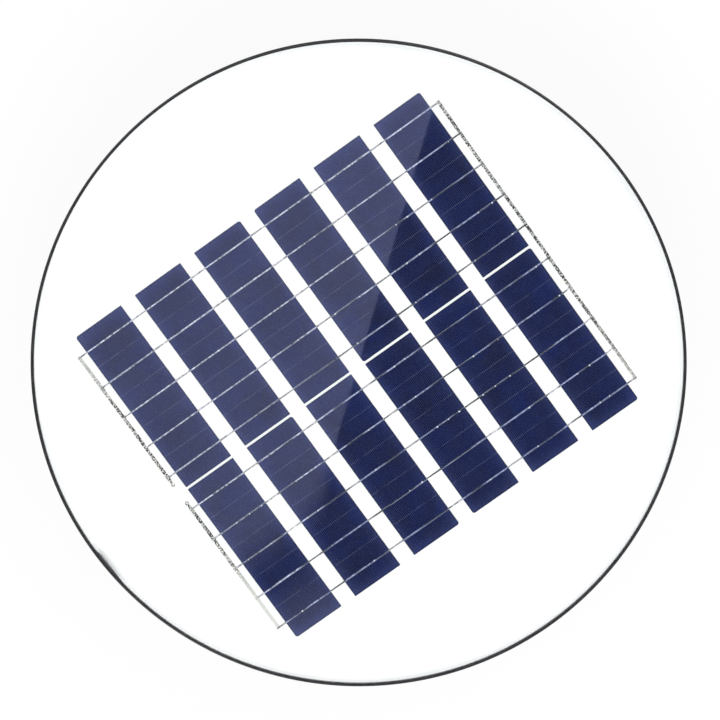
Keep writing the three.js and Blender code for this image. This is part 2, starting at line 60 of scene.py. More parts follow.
# ------------------------------------------------------------------ node helpers
class E:
    """A value in a node tree that can be used in arithmetic."""
    def __init__(self, tree, sock):
        self.t, self.s = tree, sock

    def op(self, name, *others, clamp=False):
        n = self.t.nodes.new("ShaderNodeMath")
        n.operation, n.use_clamp = name, clamp
        for i, x in enumerate((self,) + others):
            if isinstance(x, E):
                self.t.links.new(x.s, n.inputs[i])
            else:
                n.inputs[i].default_value = float(x)
        return E(self.t, n.outputs[0])

    def __add__(self, o): return self.op("ADD", o)
    def __radd__(self, o): return self.op("ADD", o)
    def __sub__(self, o): return self.op("SUBTRACT", o)
    def __rsub__(self, o): return (self * -1.0) + o
    def __mul__(self, o): return self.op("MULTIPLY", o)
    def __rmul__(self, o): return self.op("MULTIPLY", o)
    def __truediv__(self, o): return self.op("DIVIDE", o)
    def abs(self): return self.op("ABSOLUTE")
    def fract(self): return self.op("FRACT")
    def floor(self): return self.op("FLOOR")
    def sin(self): return self.op("SINE")
    def pow(self, e): return self.op("POWER", e)
    def lt(self, o): return self.op("LESS_THAN", o)
    def gt(self, o): return self.op("GREATER_THAN", o)
    def min(self, o): return self.op("MINIMUM", o)
    def max(self, o): return self.op("MAXIMUM", o)
    def clamp(self): return self.op("ADD", 0.0, clamp=True)

    def ramp(self, a, b, lo=0.0, hi=1.0, smooth=True):
        n = self.t.nodes.new("ShaderNodeMapRange")
        n.interpolation_type = "SMOOTHSTEP" if smooth else "LINEAR"
        n.clamp = True
        for i, x in enumerate((self, a, b, lo, hi)):
            if isinstance(x, E):
                self.t.links.new(x.s, n.inputs[i])
            else:
                n.inputs[i].default_value = float(x)
        return E(self.t, n.outputs[0])


class Mat:
    """A procedural Principled material, in millimetre object space."""
    def __init__(self, name):
        self.m = bpy.data.materials.new(name)
        self.m.use_nodes = True
        self.t = self.m.node_tree
        self.b = next(n for n in self.t.nodes if n.type == "BSDF_PRINCIPLED")
        self.out = next(n for n in self.t.nodes if n.type == "OUTPUT_MATERIAL")
        tc = self.t.nodes.new("ShaderNodeTexCoord")
        sc = self.t.nodes.new("ShaderNodeVectorMath")
        sc.operation = "SCALE"
        sc.inputs["Scale"].default_value = 1000.0
        self.t.links.new(tc.outputs["Object"], sc.inputs[0])
        self.p = sc.outputs[0]
        sp = self.t.nodes.new("ShaderNodeSeparateXYZ")
        self.t.links.new(self.p, sp.inputs[0])
        self.x, self.y, self.z = (E(self.t, sp.outputs[i]) for i in range(3))

    def node(self, kind, **kw):
        n = self.t.nodes.new(kind)
        for k, v in kw.items():
            setattr(n, k, v)
        return n

    def vec(self, x, y, z):
        n = self.node("ShaderNodeCombineXYZ")
        for i, v in enumerate((x, y, z)):
            if isinstance(v, E):
                self.t.links.new(v.s, n.inputs[i])
            else:
                n.inputs[i].default_value = v
        return n.outputs[0]

    def stretch(self, sx, sy, sz):
        n = self.node("ShaderNodeVectorMath", operation="MULTIPLY")
        self.t.links.new(self.p, n.inputs[0])
        n.inputs[1].default_value = (sx, sy, sz)
        return n.outputs[0]

    def noise(self, period, detail=2.0, rough=0.5, vector=None, distortion=0.0):
        """Noise with features about `period` millimetres across, 0 to 1."""
        n = self.node("ShaderNodeTexNoise")
        self.t.links.new(vector or self.p, n.inputs["Vector"])
        n.inputs["Scale"].default_value = 1.0 / period
        n.inputs["Detail"].default_value = detail
        n.inputs["Roughness"].default_value = rough
        n.inputs["Distortion"].default_value = distortion
        return E(self.t, n.outputs[0])

    def voronoi(self, period, feature="F1", out="Distance", vector=None, randomness=1.0):
        n = self.node("ShaderNodeTexVoronoi", feature=feature)
        self.t.links.new(vector or self.p, n.inputs["Vector"])
        n.inputs["Scale"].default_value = 1.0 / period
        n.inputs["Randomness"].default_value = randomness
        s = n.outputs[out]
        if out == "Color":
            sp = self.node("ShaderNodeSeparateColor")
            self.t.links.new(s, sp.inputs[0])
            return [E(self.t, sp.outputs[i]) for i in range(3)]
        return E(self.t, s)

    def mix(self, fac, a, b):
        """Colour between a and b. a and b are colours or sockets."""
        n = self.node("ShaderNodeMix", data_type="RGBA")
        self.t.links.new(fac.s, n.inputs["Factor"])
        for key, v in (("A", a), ("B", b)):
            sock = [i for i in n.inputs if i.name == key and i.type == "RGBA"][0]
            if isinstance(v, (tuple, list)):
                sock.default_value = (*v[:3], 1.0)
            else:
                self.t.links.new(v, sock)
        return [o for o in n.outputs if o.type == "RGBA"][0]

    def set(self, name, v):
        s = self.b.inputs[name]
        if isinstance(v, E):
            self.t.links.new(v.s, s)
        elif isinstance(v, (int, float)):
            s.default_value = v
        elif isinstance(v, (tuple, list)):
            s.default_value = (*v[:3], 1.0)
        else:
            self.t.links.new(v, s)
        return self

    def bump(self, height, mm=0.05, strength=1.0):
        """Adds a bump whose height is `height` times mm millimetres."""
        n = self.node("ShaderNodeBump")
        n.inputs["Strength"].default_value = strength
        n.inputs["Distance"].default_value = mm * MM
        self.t.links.new(height.s, n.inputs["Height"])
        s = self.b.inputs["Normal"]
        if s.is_linked:
            self.t.links.new(s.links[0].from_socket, n.inputs["Normal"])
        self.t.links.new(n.outputs[0], s)
        return self


# ------------------------------------------------------------------ materials
def powder_coat(name="powder_coat", base=(0.0108, 0.0111, 0.0115), spin=False):
    """Satin black powder coat: orange peel, a little settled dust, and thin coat along turned edges."""
    m = Mat(name)
    soft = m.noise(60, 3)
    grain = m.noise(0.9, 2)
    peel = m.noise(3.4, 2, 0.45)
    dust = m.noise(14, 4, 0.6).ramp(0.48, 0.8)
    nz = m.node("ShaderNodeSeparateXYZ")
    m.t.links.new(m.node("ShaderNodeNewGeometry").outputs["Normal"], nz.inputs[0])
    flat = E(m.t, nz.outputs[2]).ramp(0.35, 0.95)
    col = m.mix(soft.ramp(0.3, 0.7), base, tuple(c * 1.35 for c in base))
    col = m.mix(dust * 0.02 + flat * m.noise(38, 4, 0.62).ramp(0.42, 0.72) * 0.022, col, (0.20, 0.19, 0.175))
    if spin:                                                   # rubbed edge of the flashing, and round its nail holes
        r = (m.x * m.x + m.y * m.y).pow(0.5)
        rub = r.ramp(248.6, 249.9) * m.noise(17, 3, 0.6).ramp(0.40, 0.62)
        bay = (m.y.op("ARCTAN2", m.x) / (math.pi / 4) + 8.0).fract() - 0.5
        hole = ((r - 235.0).pow(2.0) + (bay * (math.pi / 4 * 235.0)).pow(2.0)).pow(0.5)
        rub = rub.max(hole.ramp(4.4, 3.1) * m.noise(2.5, 2).ramp(0.35, 0.6))
        col = m.mix(rub * 0.28, col, (0.24, 0.24, 0.25))
    m.set("Base Color", col).set("Metallic", 0.0).set("Specular IOR Level", 0.5)
    m.set("Roughness", grain * 0.10 + soft * 0.09 + dust * 0.06 + 0.28)
    m.bump(peel, 0.055).bump(m.noise(2.2, 2), 0.035).bump(grain, 0.03)
    if spin:
        rings = ((r + m.z * 0.9) * 2.1 + m.noise(30) * 1.5).sin()
        m.bump(rings, 0.012)
    return m.m


def glass_mat():
    """Clear front glass: what is behind it shows through, with a sharp reflection."""
    m = Mat("clear_glass")
    t = m.t
    tr = m.node("ShaderNodeBsdfTransparent")
    tint = m.mix(m.noise(90, 2).ramp(0.3, 0.7), (0.985, 0.995, 0.992), (0.975, 0.99, 0.986))
    t.links.new(tint, tr.inputs[0])
    gl = m.node("ShaderNodeBsdfGlossy")
    smudge = m.noise(35, 4, 0.6).ramp(0.5, 0.8)
    t.links.new((smudge * 0.02 + 0.012).s, gl.inputs["Roughness"])
    gl.inputs["Color"].default_value = (1, 1, 1, 1)
    fr = m.node("ShaderNodeFresnel")
    fr.inputs["IOR"].default_value = 1.5
    mx = m.node("ShaderNodeMixShader")
    # The laminate's own coat gives the straight-on part of the sheen, so the pane adds what is beyond it.
    back = E(t, m.node("ShaderNodeNewGeometry").outputs["Backfacing"])
    t.links.new(((E(t, fr.outputs[0]) - 0.04).clamp() * (back * -1.0 + 1.0)).s, mx.inputs[0])
    t.links.new(tr.outputs[0], mx.inputs[1])
    t.links.new(gl.outputs[0], mx.inputs[2])
    t.links.new(mx.outputs[0], m.out.inputs[0])
    t.nodes.remove(m.b)
    return m.m


def glass_edge_mat(name, color):
    """The laminated lower face of the glass: light passes, nothing reflects."""
    m = Mat(name)
    tr = m.node("ShaderNodeBsdfTransparent")
    tint = m.mix(m.noise(40, 2).ramp(0.3, 0.7), color, tuple(c * 0.995 for c in color))
    m.t.links.new(tint, tr.inputs[0])
    m.t.links.new(tr.outputs[0], m.out.inputs[0])
    m.t.nodes.remove(m.b)
    return m.m


def edge_tape():
    """White tape round the ground edge of the glass."""
    m = Mat("white_edge_tape")
    cloud = m.noise(6, 2)
    m.set("Base Color", m.mix(cloud.ramp(0.3, 0.7), (0.93, 0.93, 0.93), (0.91, 0.91, 0.915)))
    m.set("Roughness", cloud * 0.1 + 0.5).set("Specular IOR Level", 0.2)
    return m.m


CELL_L, CELL_W, PITCH, ROW_GAP = 156.75, 46.6, 61.12, 2.2
GRID_X, GRID_Y = -1.7, -0.5
BUSBARS = [0.1, 0.3, 0.5, 0.7, 0.9]


def cell_mat():
    """Multicrystalline silicon: large dull grains, printed fingers along Y and a dotted line between busbars."""
    m = Mat("silicon_cell")
    # which strip, and where on it
    col = ((m.x - GRID_X) / PITCH + 3.0).floor()
    u = (m.x - GRID_X) - (col - 2.5) * PITCH                   # -23.3 to 23.3 across the strip
    side = m.y.gt(GRID_Y)
    v = (m.y - GRID_Y).abs() - ROW_GAP / 2                     # 0 to 156.75 along the strip
    ident = col + side * 7.0
    # grains
    shifted = m.vec(m.x + ident * 131.0, m.y + ident * 57.0, ident * 3.0)
    warp = m.noise(16, 3, 0.6, vector=shifted)
    wv = m.vec(m.x + ident * 131.0 + warp * 22.0, m.y + ident * 57.0 + warp * 17.0, ident * 3.0)
    g1, g2, g3 = m.voronoi(13, out="Color", vector=wv)
    fine = m.noise(1.6, 3, 0.65, vector=shifted)
    cloud = m.noise(42, 2, 0.5, vector=shifted)
    dark, blue, grey = (0.0056, 0.0071, 0.0312), (0.0043, 0.0105, 0.0660), (0.0077, 0.0103, 0.0389)
    c = m.mix(g1 * 0.55 + cloud.ramp(0.35, 0.65) * 0.35, dark, blue)
    c = m.mix(g2.ramp(0.45, 1.0) * 0.45, c, grey)
    c = m.mix(fine.ramp(0.45, 0.75) * 0.18, c, (0.0077, 0.0129, 0.0700))
    # light scattered inside the laminate by the white backsheet lifts the strip towards its sides and its outer end
    sides = ((u.abs() - 23.3) / 14.0 + 1.0).max(0.0).pow(3.0)
    outer = ((v - CELL_L) / 17.0 + 1.0).max(0.0).pow(3.0)
    inner = (v / -14.0 + 1.0).max(0.0).pow(3.0)
    c = m.mix(((sides + outer + inner * 0.4) * 0.44).min(0.8), c, (0.041, 0.053, 0.168))
    # its very outline is darker
    edge = ((u.abs() - 22.5).max((v - 78.3).abs() - 77.6)).ramp(-0.9, 0.6)
    c = m.mix(edge * 0.7, c, (0.0030, 0.0040, 0.0190))
    # printed silver fingers, 1.55 mm apart
    f = ((u / 1.553 + 15.0).fract() - 0.5).abs()
    finger = f.lt(0.026) * (u.abs().lt(22.6))
    # busbar print under each ribbon, and the dotted line midway between ribbons
    t = (v / CELL_L * 5.0).fract()
    bar = (t - 0.5).abs().lt(0.0190)
    mid = (v / CELL_L * 5.0 + 0.5).fract()
    dot = (mid - 0.5).abs().lt(0.0105) * ((u / 1.553 + 15.0).fract() - 0.5).abs().lt(0.17)
    keep = (v / CELL_L * 5.0).gt(0.6) * (v / CELL_L * 5.0).lt(4.4)
    speck = dot * keep * (m.noise(9, 2).ramp(0.34, 0.55) * 0.75 + 0.25)
    c = m.mix(finger * 0.8, c, (0.115, 0.146, 0.262))
    c = m.mix((bar * 0.8).max(speck * 0.26), c, (0.40, 0.44, 0.55))
    # Straight-on sheen of the laminate and the glass over it: it fades where the pane's own takes over.
    # It is a little uneven from grain to grain.
    fr = m.node("ShaderNodeFresnel")
    fr.inputs["IOR"].default_value = 1.5
    keep_ = (E(m.t, fr.outputs[0]).pow(-1.0) * 0.04).min(1.0)
    m.set("Coat Weight", keep_ * (cloud.ramp(0.35, 0.65) * 0.10 + g3 * 0.05 + 0.87))
    m.set("Coat Roughness", m.noise(35, 2).ramp(0.4, 0.7) * 0.01 + 0.005).set("Coat IOR", 1.5)
    m.set("Base Color", c).set("Roughness", g3 * 0.12 + 0.42).set("Specular IOR Level", 0.05)
    return m.m


def tinned(name, rough, crinkle=0.0, tone=(0.80, 0.81, 0.83), dull=(0.45, 0.46, 0.48), spread=0.0, painted_glint=0.5):
    m = Mat(name)
    blot = m.noise(3.2, 3, 0.6)
    fine = m.noise(0.5, 3, 0.6)
    length = m.noise(26, 1, 0.5, vector=m.stretch(1.0, 6.0, 1.0))      # one stretch of ribbon against the next
    c = m.mix(blot.ramp(0.35, 0.7), tone, dull)
    lit_side_axis = m.x * -0.62 + m.y * 0.784                       # distance from the middle towards the side lit by the glare; it steers the painted reflection and painted shade below
    if name == "soldered_ribbon":
        # painted reflection: a blue sheen on the side lit by the glare; the darker stretches are made stronger away
        # from it, and a dark painted shade falls towards the far corner
        c = m.mix(lit_side_axis.ramp(-60.0, 60.0), m.mix(blot.ramp(0.35, 0.7), (0.62, 0.69, 0.95), (0.108, 0.132, 0.225)), c)
        c = m.mix(length.ramp(0.44, 0.60) * (lit_side_axis.ramp(-20.0, 150.0) * -0.82 + 0.95), c, tuple(d * 0.30 for d in dull))
        c = m.mix((lit_side_axis.ramp(-70.0, 20.0) * -1.0 + 1.0) * (lit_side_axis.ramp(-100.0, -160.0) * -0.6 + 1.0) * 0.52, c, (0.028, 0.034, 0.060))
    elif name == "bare_ribbon":
        # painted shade: the darker stretches grow stronger away from the lit side, and a dark painted shade falls
        # towards the far corner
        c = m.mix(length.ramp(0.44, 0.60) * (lit_side_axis.ramp(-60.0, 80.0) * -0.78 + 0.95), c, tuple(d * 0.30 for d in dull))
        c = m.mix((lit_side_axis.ramp(-45.0, 15.0) * -1.0 + 1.0) * (lit_side_axis.ramp(-70.0, -125.0) * -0.9 + 1.0) * 0.36, c, (0.05, 0.05, 0.05))
    else:
        c = m.mix(length.ramp(0.44, 0.60) * spread, c, tuple(d * 0.30 for d in dull))
    # painted glints: small bright specks put into the base colour
    c = m.mix(fine.ramp(0.52, 0.75) * painted_glint, c, (0.93, 0.94, 0.95))
    if name == "bus_ribbon":                               # creased foil: small facets painted black against white, a painted reflection of the creases
        f1, f2, f3 = m.voronoi(1.0, out="Color", vector=m.stretch(1.0, 1.3, 1.0))
        left, low = m.x.lt(0.0), m.y.lt(0.0)
        pale = left * low * (m.y * -1.0).ramp(56.0, 128.0) + left * (low * -1.0 + 1.0) * m.y.ramp(80.0, 142.0) * 0.50
        pale = (pale + (left * -1.0 + 1.0) * (m.y * -1.0).ramp(60.0, 160.0) * 0.40).clamp()
        core = (m.noise(11, 2) * 0.9 + 0.55) * (pale * -0.92 + 1.0)
        c = m.mix((f1.gt(0.48) * core + f2.gt(0.82) * 0.2).clamp(), (0.75, 0.73, 0.61), (0.064, 0.063, 0.052))
        c = m.mix(fine.ramp(0.5, 0.7) * 0.35 * (pale * -0.7 + 1.0), c, (0.35, 0.35, 0.35))
        c = m.mix(pale * 0.88, c, (0.60, 0.60, 0.56))       # the outer ends are paler and less metallic
        m.set("Metallic", pale * -0.85 + 1.0)
    else:
        m.set("Metallic", 1.0)
    m.set("Base Color", c)
    m.set("Roughness", blot * 0.16 + fine * 0.1 + rough)
    m.bump(fine, 0.02)
    if crinkle:
        m.bump(m.noise(2.4, 2, 0.5), crinkle).bump(m.noise(7, 2), crinkle * 1.5)
    return m.m


def backsheet_mat():
    m = Mat("white_backsheet")
    cloud = m.noise(55, 3)
    weave = ((m.x * 4.1).sin() * (m.y * 4.1).sin())
    c = m.mix(cloud.ramp(0.35, 0.7), (0.875, 0.877, 0.880), (0.850, 0.853, 0.858))
    m.set("Base Color", c).set("Roughness", cloud * 0.1 + 0.5).set("Specular IOR Level", 0.15)
    m.bump(weave, 0.012).bump(m.noise(6, 3), 0.05)
    return m.m


def sealant_mat():
    m = Mat("black_silicone")
    lump = m.noise(7, 3)
    m.set("Base Color", m.mix(lump.ramp(0.3, 0.7), (0.015, 0.015, 0.016), (0.028, 0.028, 0.029)))
    m.set("Roughness", lump * 0.15 + 0.30)
    m.bump(lump, 0.25).bump(m.noise(1.2, 2), 0.04)
    return m.m


def smear_mat():
    m = Mat("wiped_silicone")
    r = (m.x * m.x + m.y * m.y).pow(0.5)
    drag = m.noise(1.1, 3, 0.6)
    c = m.mix((r + drag * 1.3).ramp(269.2, 271.3), (0.36, 0.36, 0.36), (0.022, 0.022, 0.023))
    m.set("Base Color", c).set("Roughness", drag * 0.2 + 0.35)
    m.bump(drag, 0.05)
    return m.m


def moulded(name, base=(0.020, 0.020, 0.021), rough=0.5, light=None):
    m = Mat(name)
    grain = m.voronoi(0.55)
    cloud = m.noise(22, 3)
    m.set("Base Color", m.mix(cloud.ramp(0.3, 0.7), base, light or tuple(c * 1.5 for c in base)))
    m.set("Roughness", grain * 0.12 + cloud * 0.08 + rough - 0.08)
    m.bump(grain, 0.03).bump(m.noise(3, 2), 0.02)
    return m.m


def zinc_mat(name="zinc_plate", tone=(0.60, 0.61, 0.63), rough=0.26, tint=(0.56, 0.60, 0.66)):
    m = Mat(name)
    cloud = m.noise(4.5, 4, 0.6)
    fine = m.noise(0.35, 2)
    c = m.mix(cloud.ramp(0.3, 0.72), tone, tint)
    c = m.mix(m.noise(1.3, 3, 0.6).ramp(0.58, 0.8) * 0.45, c, (0.30, 0.29, 0.27))
    m.set("Base Color", c).set("Metallic", 1.0).set("Roughness", cloud * 0.18 + fine * 0.08 + rough)
    m.bump(fine, 0.012).bump(cloud, 0.02)
    return m.m


def galvanised(name="galvanised_wire"):
    m = Mat(name)
    a, b, c3 = m.voronoi(3.0, out="Color")
    c = m.mix(a, (0.50, 0.52, 0.54), (0.66, 0.68, 0.70))
    c = m.mix(m.noise(9, 3).ramp(0.5, 0.8) * 0.4, c, (0.33, 0.33, 0.33))
    m.set("Base Color", c).set("Metallic", 1.0).set("Roughness", b * 0.2 + 0.34)
    m.bump(m.noise(0.7, 2), 0.03)
    return m.m


def rolled_alu(name="rolled_aluminium"):
    """Mill-finish sheet: fine rolling lines along each blade's length."""
    m = Mat(name)
    v = m.stretch(0.03, 1.0, 1.0)
    lines = m.noise(0.42, 3, 0.6, vector=v)
    cloud = m.noise(30, 3)
    c = m.mix(cloud.ramp(0.3, 0.7), (0.70, 0.71, 0.72), (0.60, 0.61, 0.63))
    c = m.mix(lines.ramp(0.4, 0.7) * 0.35, c, (0.80, 0.81, 0.82))
    m.set("Base Color", c).set("Metallic", 1.0)
    m.set("Roughness", lines * 0.16 + cloud * 0.10 + 0.22)
    m.bump(lines, 0.012).bump(m.noise(18, 2), 0.12)
    return m.m


def cast_alu(name="cast_aluminium"):
    m = Mat(name)
    pit = m.noise(0.8, 3, 0.6)
    cloud = m.noise(25, 3)
    c = m.mix(cloud.ramp(0.3, 0.7), (0.56, 0.57, 0.58), (0.46, 0.47, 0.48))
    c = m.mix(pit.ramp(0.6, 0.8) * 0.4, c, (0.28, 0.28, 0.29))
    m.set("Base Color", c).set("Metallic", 1.0).set("Roughness", pit * 0.18 + cloud * 0.1 + 0.34)
    m.bump(pit, 0.05).bump(m.noise(3, 2), 0.05)
    return m.m


def ground_steel(name="ground_steel"):
    m = Mat(name)
    lines = m.noise(0.25, 2, vector=m.stretch(0.4, 0.4, 4.0))
    cloud = m.noise(9, 3)
    c = m.mix(lines.ramp(0.3, 0.7), (0.60, 0.60, 0.61), (0.50, 0.50, 0.52))
    m.set("Base Color", c).set("Metallic", 1.0).set("Roughness", lines * 0.14 + cloud * 0.06 + 0.16)
    m.bump(lines, 0.006)
    return m.m


def laminated_steel(name="lamination_steel"):
    m = Mat(name)
    layer = ((m.z / 0.5).fract() - 0.5).abs().ramp(0.40, 0.5)
    cloud = m.noise(12, 3)
    c = m.mix(cloud.ramp(0.3, 0.7), (0.30, 0.30, 0.32), (0.42, 0.42, 0.44))
    c = m.mix(layer * 0.8, c, (0.07, 0.065, 0.06))
    m.set("Base Color", c).set("Metallic", 0.9).set("Roughness", cloud * 0.15 + 0.36)
    m.bump(layer, -0.08)
    return m.m


def board_mat(name="solder_mask"):
    m = Mat(name)
    tx = ((m.x / 3.1 + m.noise(14, 1) * 2.4).fract() - 0.5).abs().ramp(0.30, 0.34)
    ty = ((m.y / 3.4 + m.noise(11, 1) * 2.1).fract() - 0.5).abs().ramp(0.31, 0.35)
    via = m.voronoi(3.6).ramp(0.10, 0.13, 1.0, 0.0)
    c = m.mix(tx.max(ty) * 0.6, (0.010, 0.105, 0.045), (0.016, 0.19, 0.085))
    c = m.mix(via, c, (0.62, 0.56, 0.40))
    m.set("Base Color", c).set("Roughness", tx * 0.1 + 0.26).set("Metallic", via * 0.8)
    m.bump(tx.max(ty), 0.04)
    return m.m


def copper_wire(name="enamelled_copper"):
    m = Mat(name)
    turns_and_groove_shade = (m.z * 7.4).sin() * 0.5 + 0.5
    cloud = m.noise(5, 3)
    # each turn is painted darker down in the groove between turns: painted shade over the real turn bump
    c = m.mix(turns_and_groove_shade, (0.30, 0.075, 0.025), (0.62, 0.22, 0.085))
    c = m.mix(cloud.ramp(0.55, 0.8) * 0.5, c, (0.20, 0.05, 0.02))
    m.set("Base Color", c).set("Metallic", 0.85).set("Roughness", cloud * 0.1 + 0.24)
    m.bump(turns_and_groove_shade, 0.25)
    return m.m


def rubber(name="cable_jacket", base=(0.019, 0.019, 0.020)):
    m = Mat(name)
    cloud = m.noise(8, 3)
    fine = m.noise(0.5, 2)
    m.set("Base Color", m.mix(cloud.ramp(0.3, 0.7), base, tuple(c * 1.7 for c in base)))
    m.set("Roughness", cloud * 0.12 + fine * 0.1 + 0.44)
    m.bump(fine, 0.02).bump(cloud, 0.06)
    return m.m


def ferrite(name="ferrite"):
    m = Mat(name)
    g = m.noise(0.6, 3, 0.6)
    m.set("Base Color", m.mix(g.ramp(0.3, 0.7), (0.045, 0.045, 0.05), (0.085, 0.085, 0.09)))
    m.set("Metallic", 0.3).set("Roughness", g * 0.2 + 0.40)
    m.bump(g, 0.04)
    return m.m


COAT = powder_coat()
COAT_SPUN = powder_coat("powder_coat_spun", spin=True)
GLASS, GLASS_BACK, GLASS_SIDE = glass_mat(), glass_edge_mat("glass_laminated_face", (1.0, 1.0, 1.0)), edge_tape()
CELL = cell_mat()
SOLDERED = tinned("soldered_ribbon", 0.34, 0.14, tone=(0.745, 0.76, 0.80), dull=(0.137, 0.142, 0.152), spread=0.95, painted_glint=0.28)
SOLDER = tinned("solder_spot", 0.42, 0.05, tone=(0.90, 0.90, 0.90), dull=(0.62, 0.63, 0.64), spread=0.0, painted_glint=0.6)
BARE = tinned("bare_ribbon", 0.10, 0.04, tone=(0.82, 0.79, 0.67), dull=(0.17, 0.165, 0.14), spread=0.95, painted_glint=0.2)
BUS = tinned("bus_ribbon", 0.34, 0.55, tone=(0.80, 0.81, 0.82), dull=(0.16, 0.17, 0.17), spread=0.5, painted_glint=0.5)
WHITE = backsheet_mat()
SEAL, SMEAR = sealant_mat(), smear_mat()
PLASTIC = moulded("moulded_black")
ZINC = zinc_mat()
HUBSTEEL = zinc_mat("plated_hub_steel", (0.56, 0.57, 0.59), 0.30, (0.50, 0.53, 0.58))
GALV = galvanised()
ALU = rolled_alu()
CAST = cast_alu()
STEEL = ground_steel()
LAM = laminated_steel()
BOARD = board_mat()
COPPER = copper_wire()
RUBBER = rubber()
FERRITE = ferrite()
CHIP = moulded("epoxy_package", (0.02, 0.02, 0.022), 0.4)
CREAM = moulded("nylon_insulator", (0.62, 0.58, 0.48), 0.45, (0.70, 0.66, 0.56))


# ------------------------------------------------------------------ mesh helpers (millimetres)
class Shape:
    """Collects closed shells, each with a material index."""
    def __init__(self):
        self.v, self.f, self.m = [], [], []

    def put(self, verts, faces, mat=0, M=None):
        n = len(self.v)
        if M is not None:
            verts = [M @ Vector(p) for p in verts]
        self.v += [tuple(p) for p in verts]
        self.f += [tuple(i + n for i in f) for f in faces]
        self.m += [mat] * len(faces) if isinstance(mat, int) else list(mat)
        return self

    def lathe(self, profile, segs=96, mat=0, M=None, turn=0.0):
        """Turns [r, z] pairs about Z. Open profiles must start and end on the axis, others close."""
        prof = [tuple(p) for p in profile]
        onaxis = prof[0][0] < 1e-6 and prof[-1][0] < 1e-6
        verts, rings = [], []
        for r, z in prof:
            if r < 1e-6:
                rings.append([len(verts)] * segs)
                verts.append((0, 0, z))
            else:
                rings.append(list(range(len(verts), len(verts) + segs)))
                for k in range(segs):
                    a = 2 * math.pi * k / segs + turn
                    verts.append((r * math.cos(a), r * math.sin(a), z))
        faces = []
        n = len(prof)
        for i in range(n if not onaxis else n - 1):
            a, b = rings[i], rings[(i + 1) % n]
            for k in range(segs):
                q = [a[k], a[(k + 1) % segs], b[(k + 1) % segs], b[k]]
                q = [x for j, x in enumerate(q) if x != q[j - 1]]
                if len(set(q)) > 2:
                    faces.append(tuple(dict.fromkeys(q)))
        return self.put(verts, faces, mat, M)

    def prism(self, poly, z0, z1, bevel=0.0, seg=2, mat=0, M=None):
        """A 2-D outline raised between two heights, with its edges rounded."""
        bm = bmesh.new()
        base = bm.faces.new([bm.verts.new((x, y, z0)) for x, y in poly])
        ext = bmesh.ops.extrude_face_region(bm, geom=[base])
        bmesh.ops.translate(bm, vec=(0, 0, z1 - z0), verts=[g for g in ext["geom"] if isinstance(g, bmesh.types.BMVert)])
        bmesh.ops.recalc_face_normals(bm, faces=bm.faces)
        if bevel:
            flat = [e for e in bm.edges if abs(e.verts[0].co.z - e.verts[1].co.z) < 1e-6]
            sharp = [e for e in bm.edges if abs(e.verts[0].co.z - e.verts[1].co.z) > 1e-6 and e.calc_face_angle(0) > 0.6]
            bmesh.ops.bevel(bm, geom=flat + sharp, offset=bevel, segments=seg, affect="EDGES", profile=0.5, clamp_overlap=True)
        return self.take(bm, mat, M)

    def rbox(self, x0, y0, z0, x1, y1, z1, r=0.6, seg=3, mat=0, M=None):
        bm = bmesh.new()
        bmesh.ops.create_cube(bm, size=1.0)
        for v in bm.verts:
            v.co = Vector(((x0 + x1) / 2 + v.co.x * (x1 - x0), (y0 + y1) / 2 + v.co.y * (y1 - y0), (z0 + z1) / 2 + v.co.z * (z1 - z0)))
        bmesh.ops.bevel(bm, geom=list(bm.edges), offset=r, segments=seg, affect="EDGES", profile=0.5, clamp_overlap=True)
        return self.take(bm, mat, M)

    def tube(self, pts, radius, sides=12, mat=0, M=None, closed=False):
        """A round bar along a list of points, its ends closed."""
        P = [Vector(p) for p in pts]
        n = len(P)
        verts, faces = [], []
        up = Vector((0, 0, 1))
        prev = None
        for i, p in enumerate(P):
            a = P[(i - 1) % n] if (closed or i) else p
            b = P[(i + 1) % n] if (closed or i < n - 1) else p
            t = (b - a).normalized()
            if prev is None:
                side = t.cross(up)
                if side.length < 1e-3:
                    side = t.cross(Vector((1, 0, 0)))
                side.normalize()
            else:
                side = (prev - t * prev.dot(t)).normalized()
            prev = side
            nrm = side.cross(t)
            rad = radius[i] if isinstance(radius, (list, tuple)) else radius
            for k in range(sides):
                an = 2 * math.pi * k / sides
                verts.append(tuple(p + side * (rad * math.cos(an)) + nrm * (rad * math.sin(an))))
        for i in range(n if closed else n - 1):
            for k in range(sides):
                a, b = i * sides, ((i + 1) % n) * sides
                faces.append((a + k, a + (k + 1) % sides, b + (k + 1) % sides, b + k))
        if not closed:
            faces.append(tuple(range(sides))[::-1])
            faces.append(tuple(range((n - 1) * sides, n * sides)))
        return self.put(verts, faces, mat, M)

    def take(self, bm, mat=0, M=None):
        bm.verts.ensure_lookup_table()
        bm.verts.index_update()
        verts = [v.co.copy() for v in bm.verts]
        faces = [tuple(v.index for v in f.verts) for f in bm.faces]
        bm.free()
        return self.put(verts, faces, mat, M)

    def mesh(self, name, mats, angle=32):
        me = bpy.data.meshes.new(name)
        me.from_pydata([(x * MM, y * MM, z * MM) for x, y, z in self.v], [], self.f)
        for m in mats:
            me.materials.append(m)
        me.polygons.foreach_set("material_index", np.array(self.m, np.int32))
        bm = bmesh.new()
        bm.from_mesh(me)
        bmesh.ops.remove_doubles(bm, verts=bm.verts, dist=1e-7)
        bmesh.ops.recalc_face_normals(bm, faces=bm.faces)
        bm.to_mesh(me)
        bm.free()
        shade(me, angle)
        return me


def shade(me, angle=32):
    me.polygons.foreach_set("use_smooth", np.ones(len(me.polygons), bool))
    me.set_sharp_from_angle(angle=math.radians(angle))
    me.update()


def obj(name, me, body="frame", rep=(), place=None):
    o = bpy.data.objects.new(name, me)
    scene.collection.objects.link(o)
    if place is not None:
        o.matrix_world = place
    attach(o, body)
    if rep:
        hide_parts(*rep)
    return o


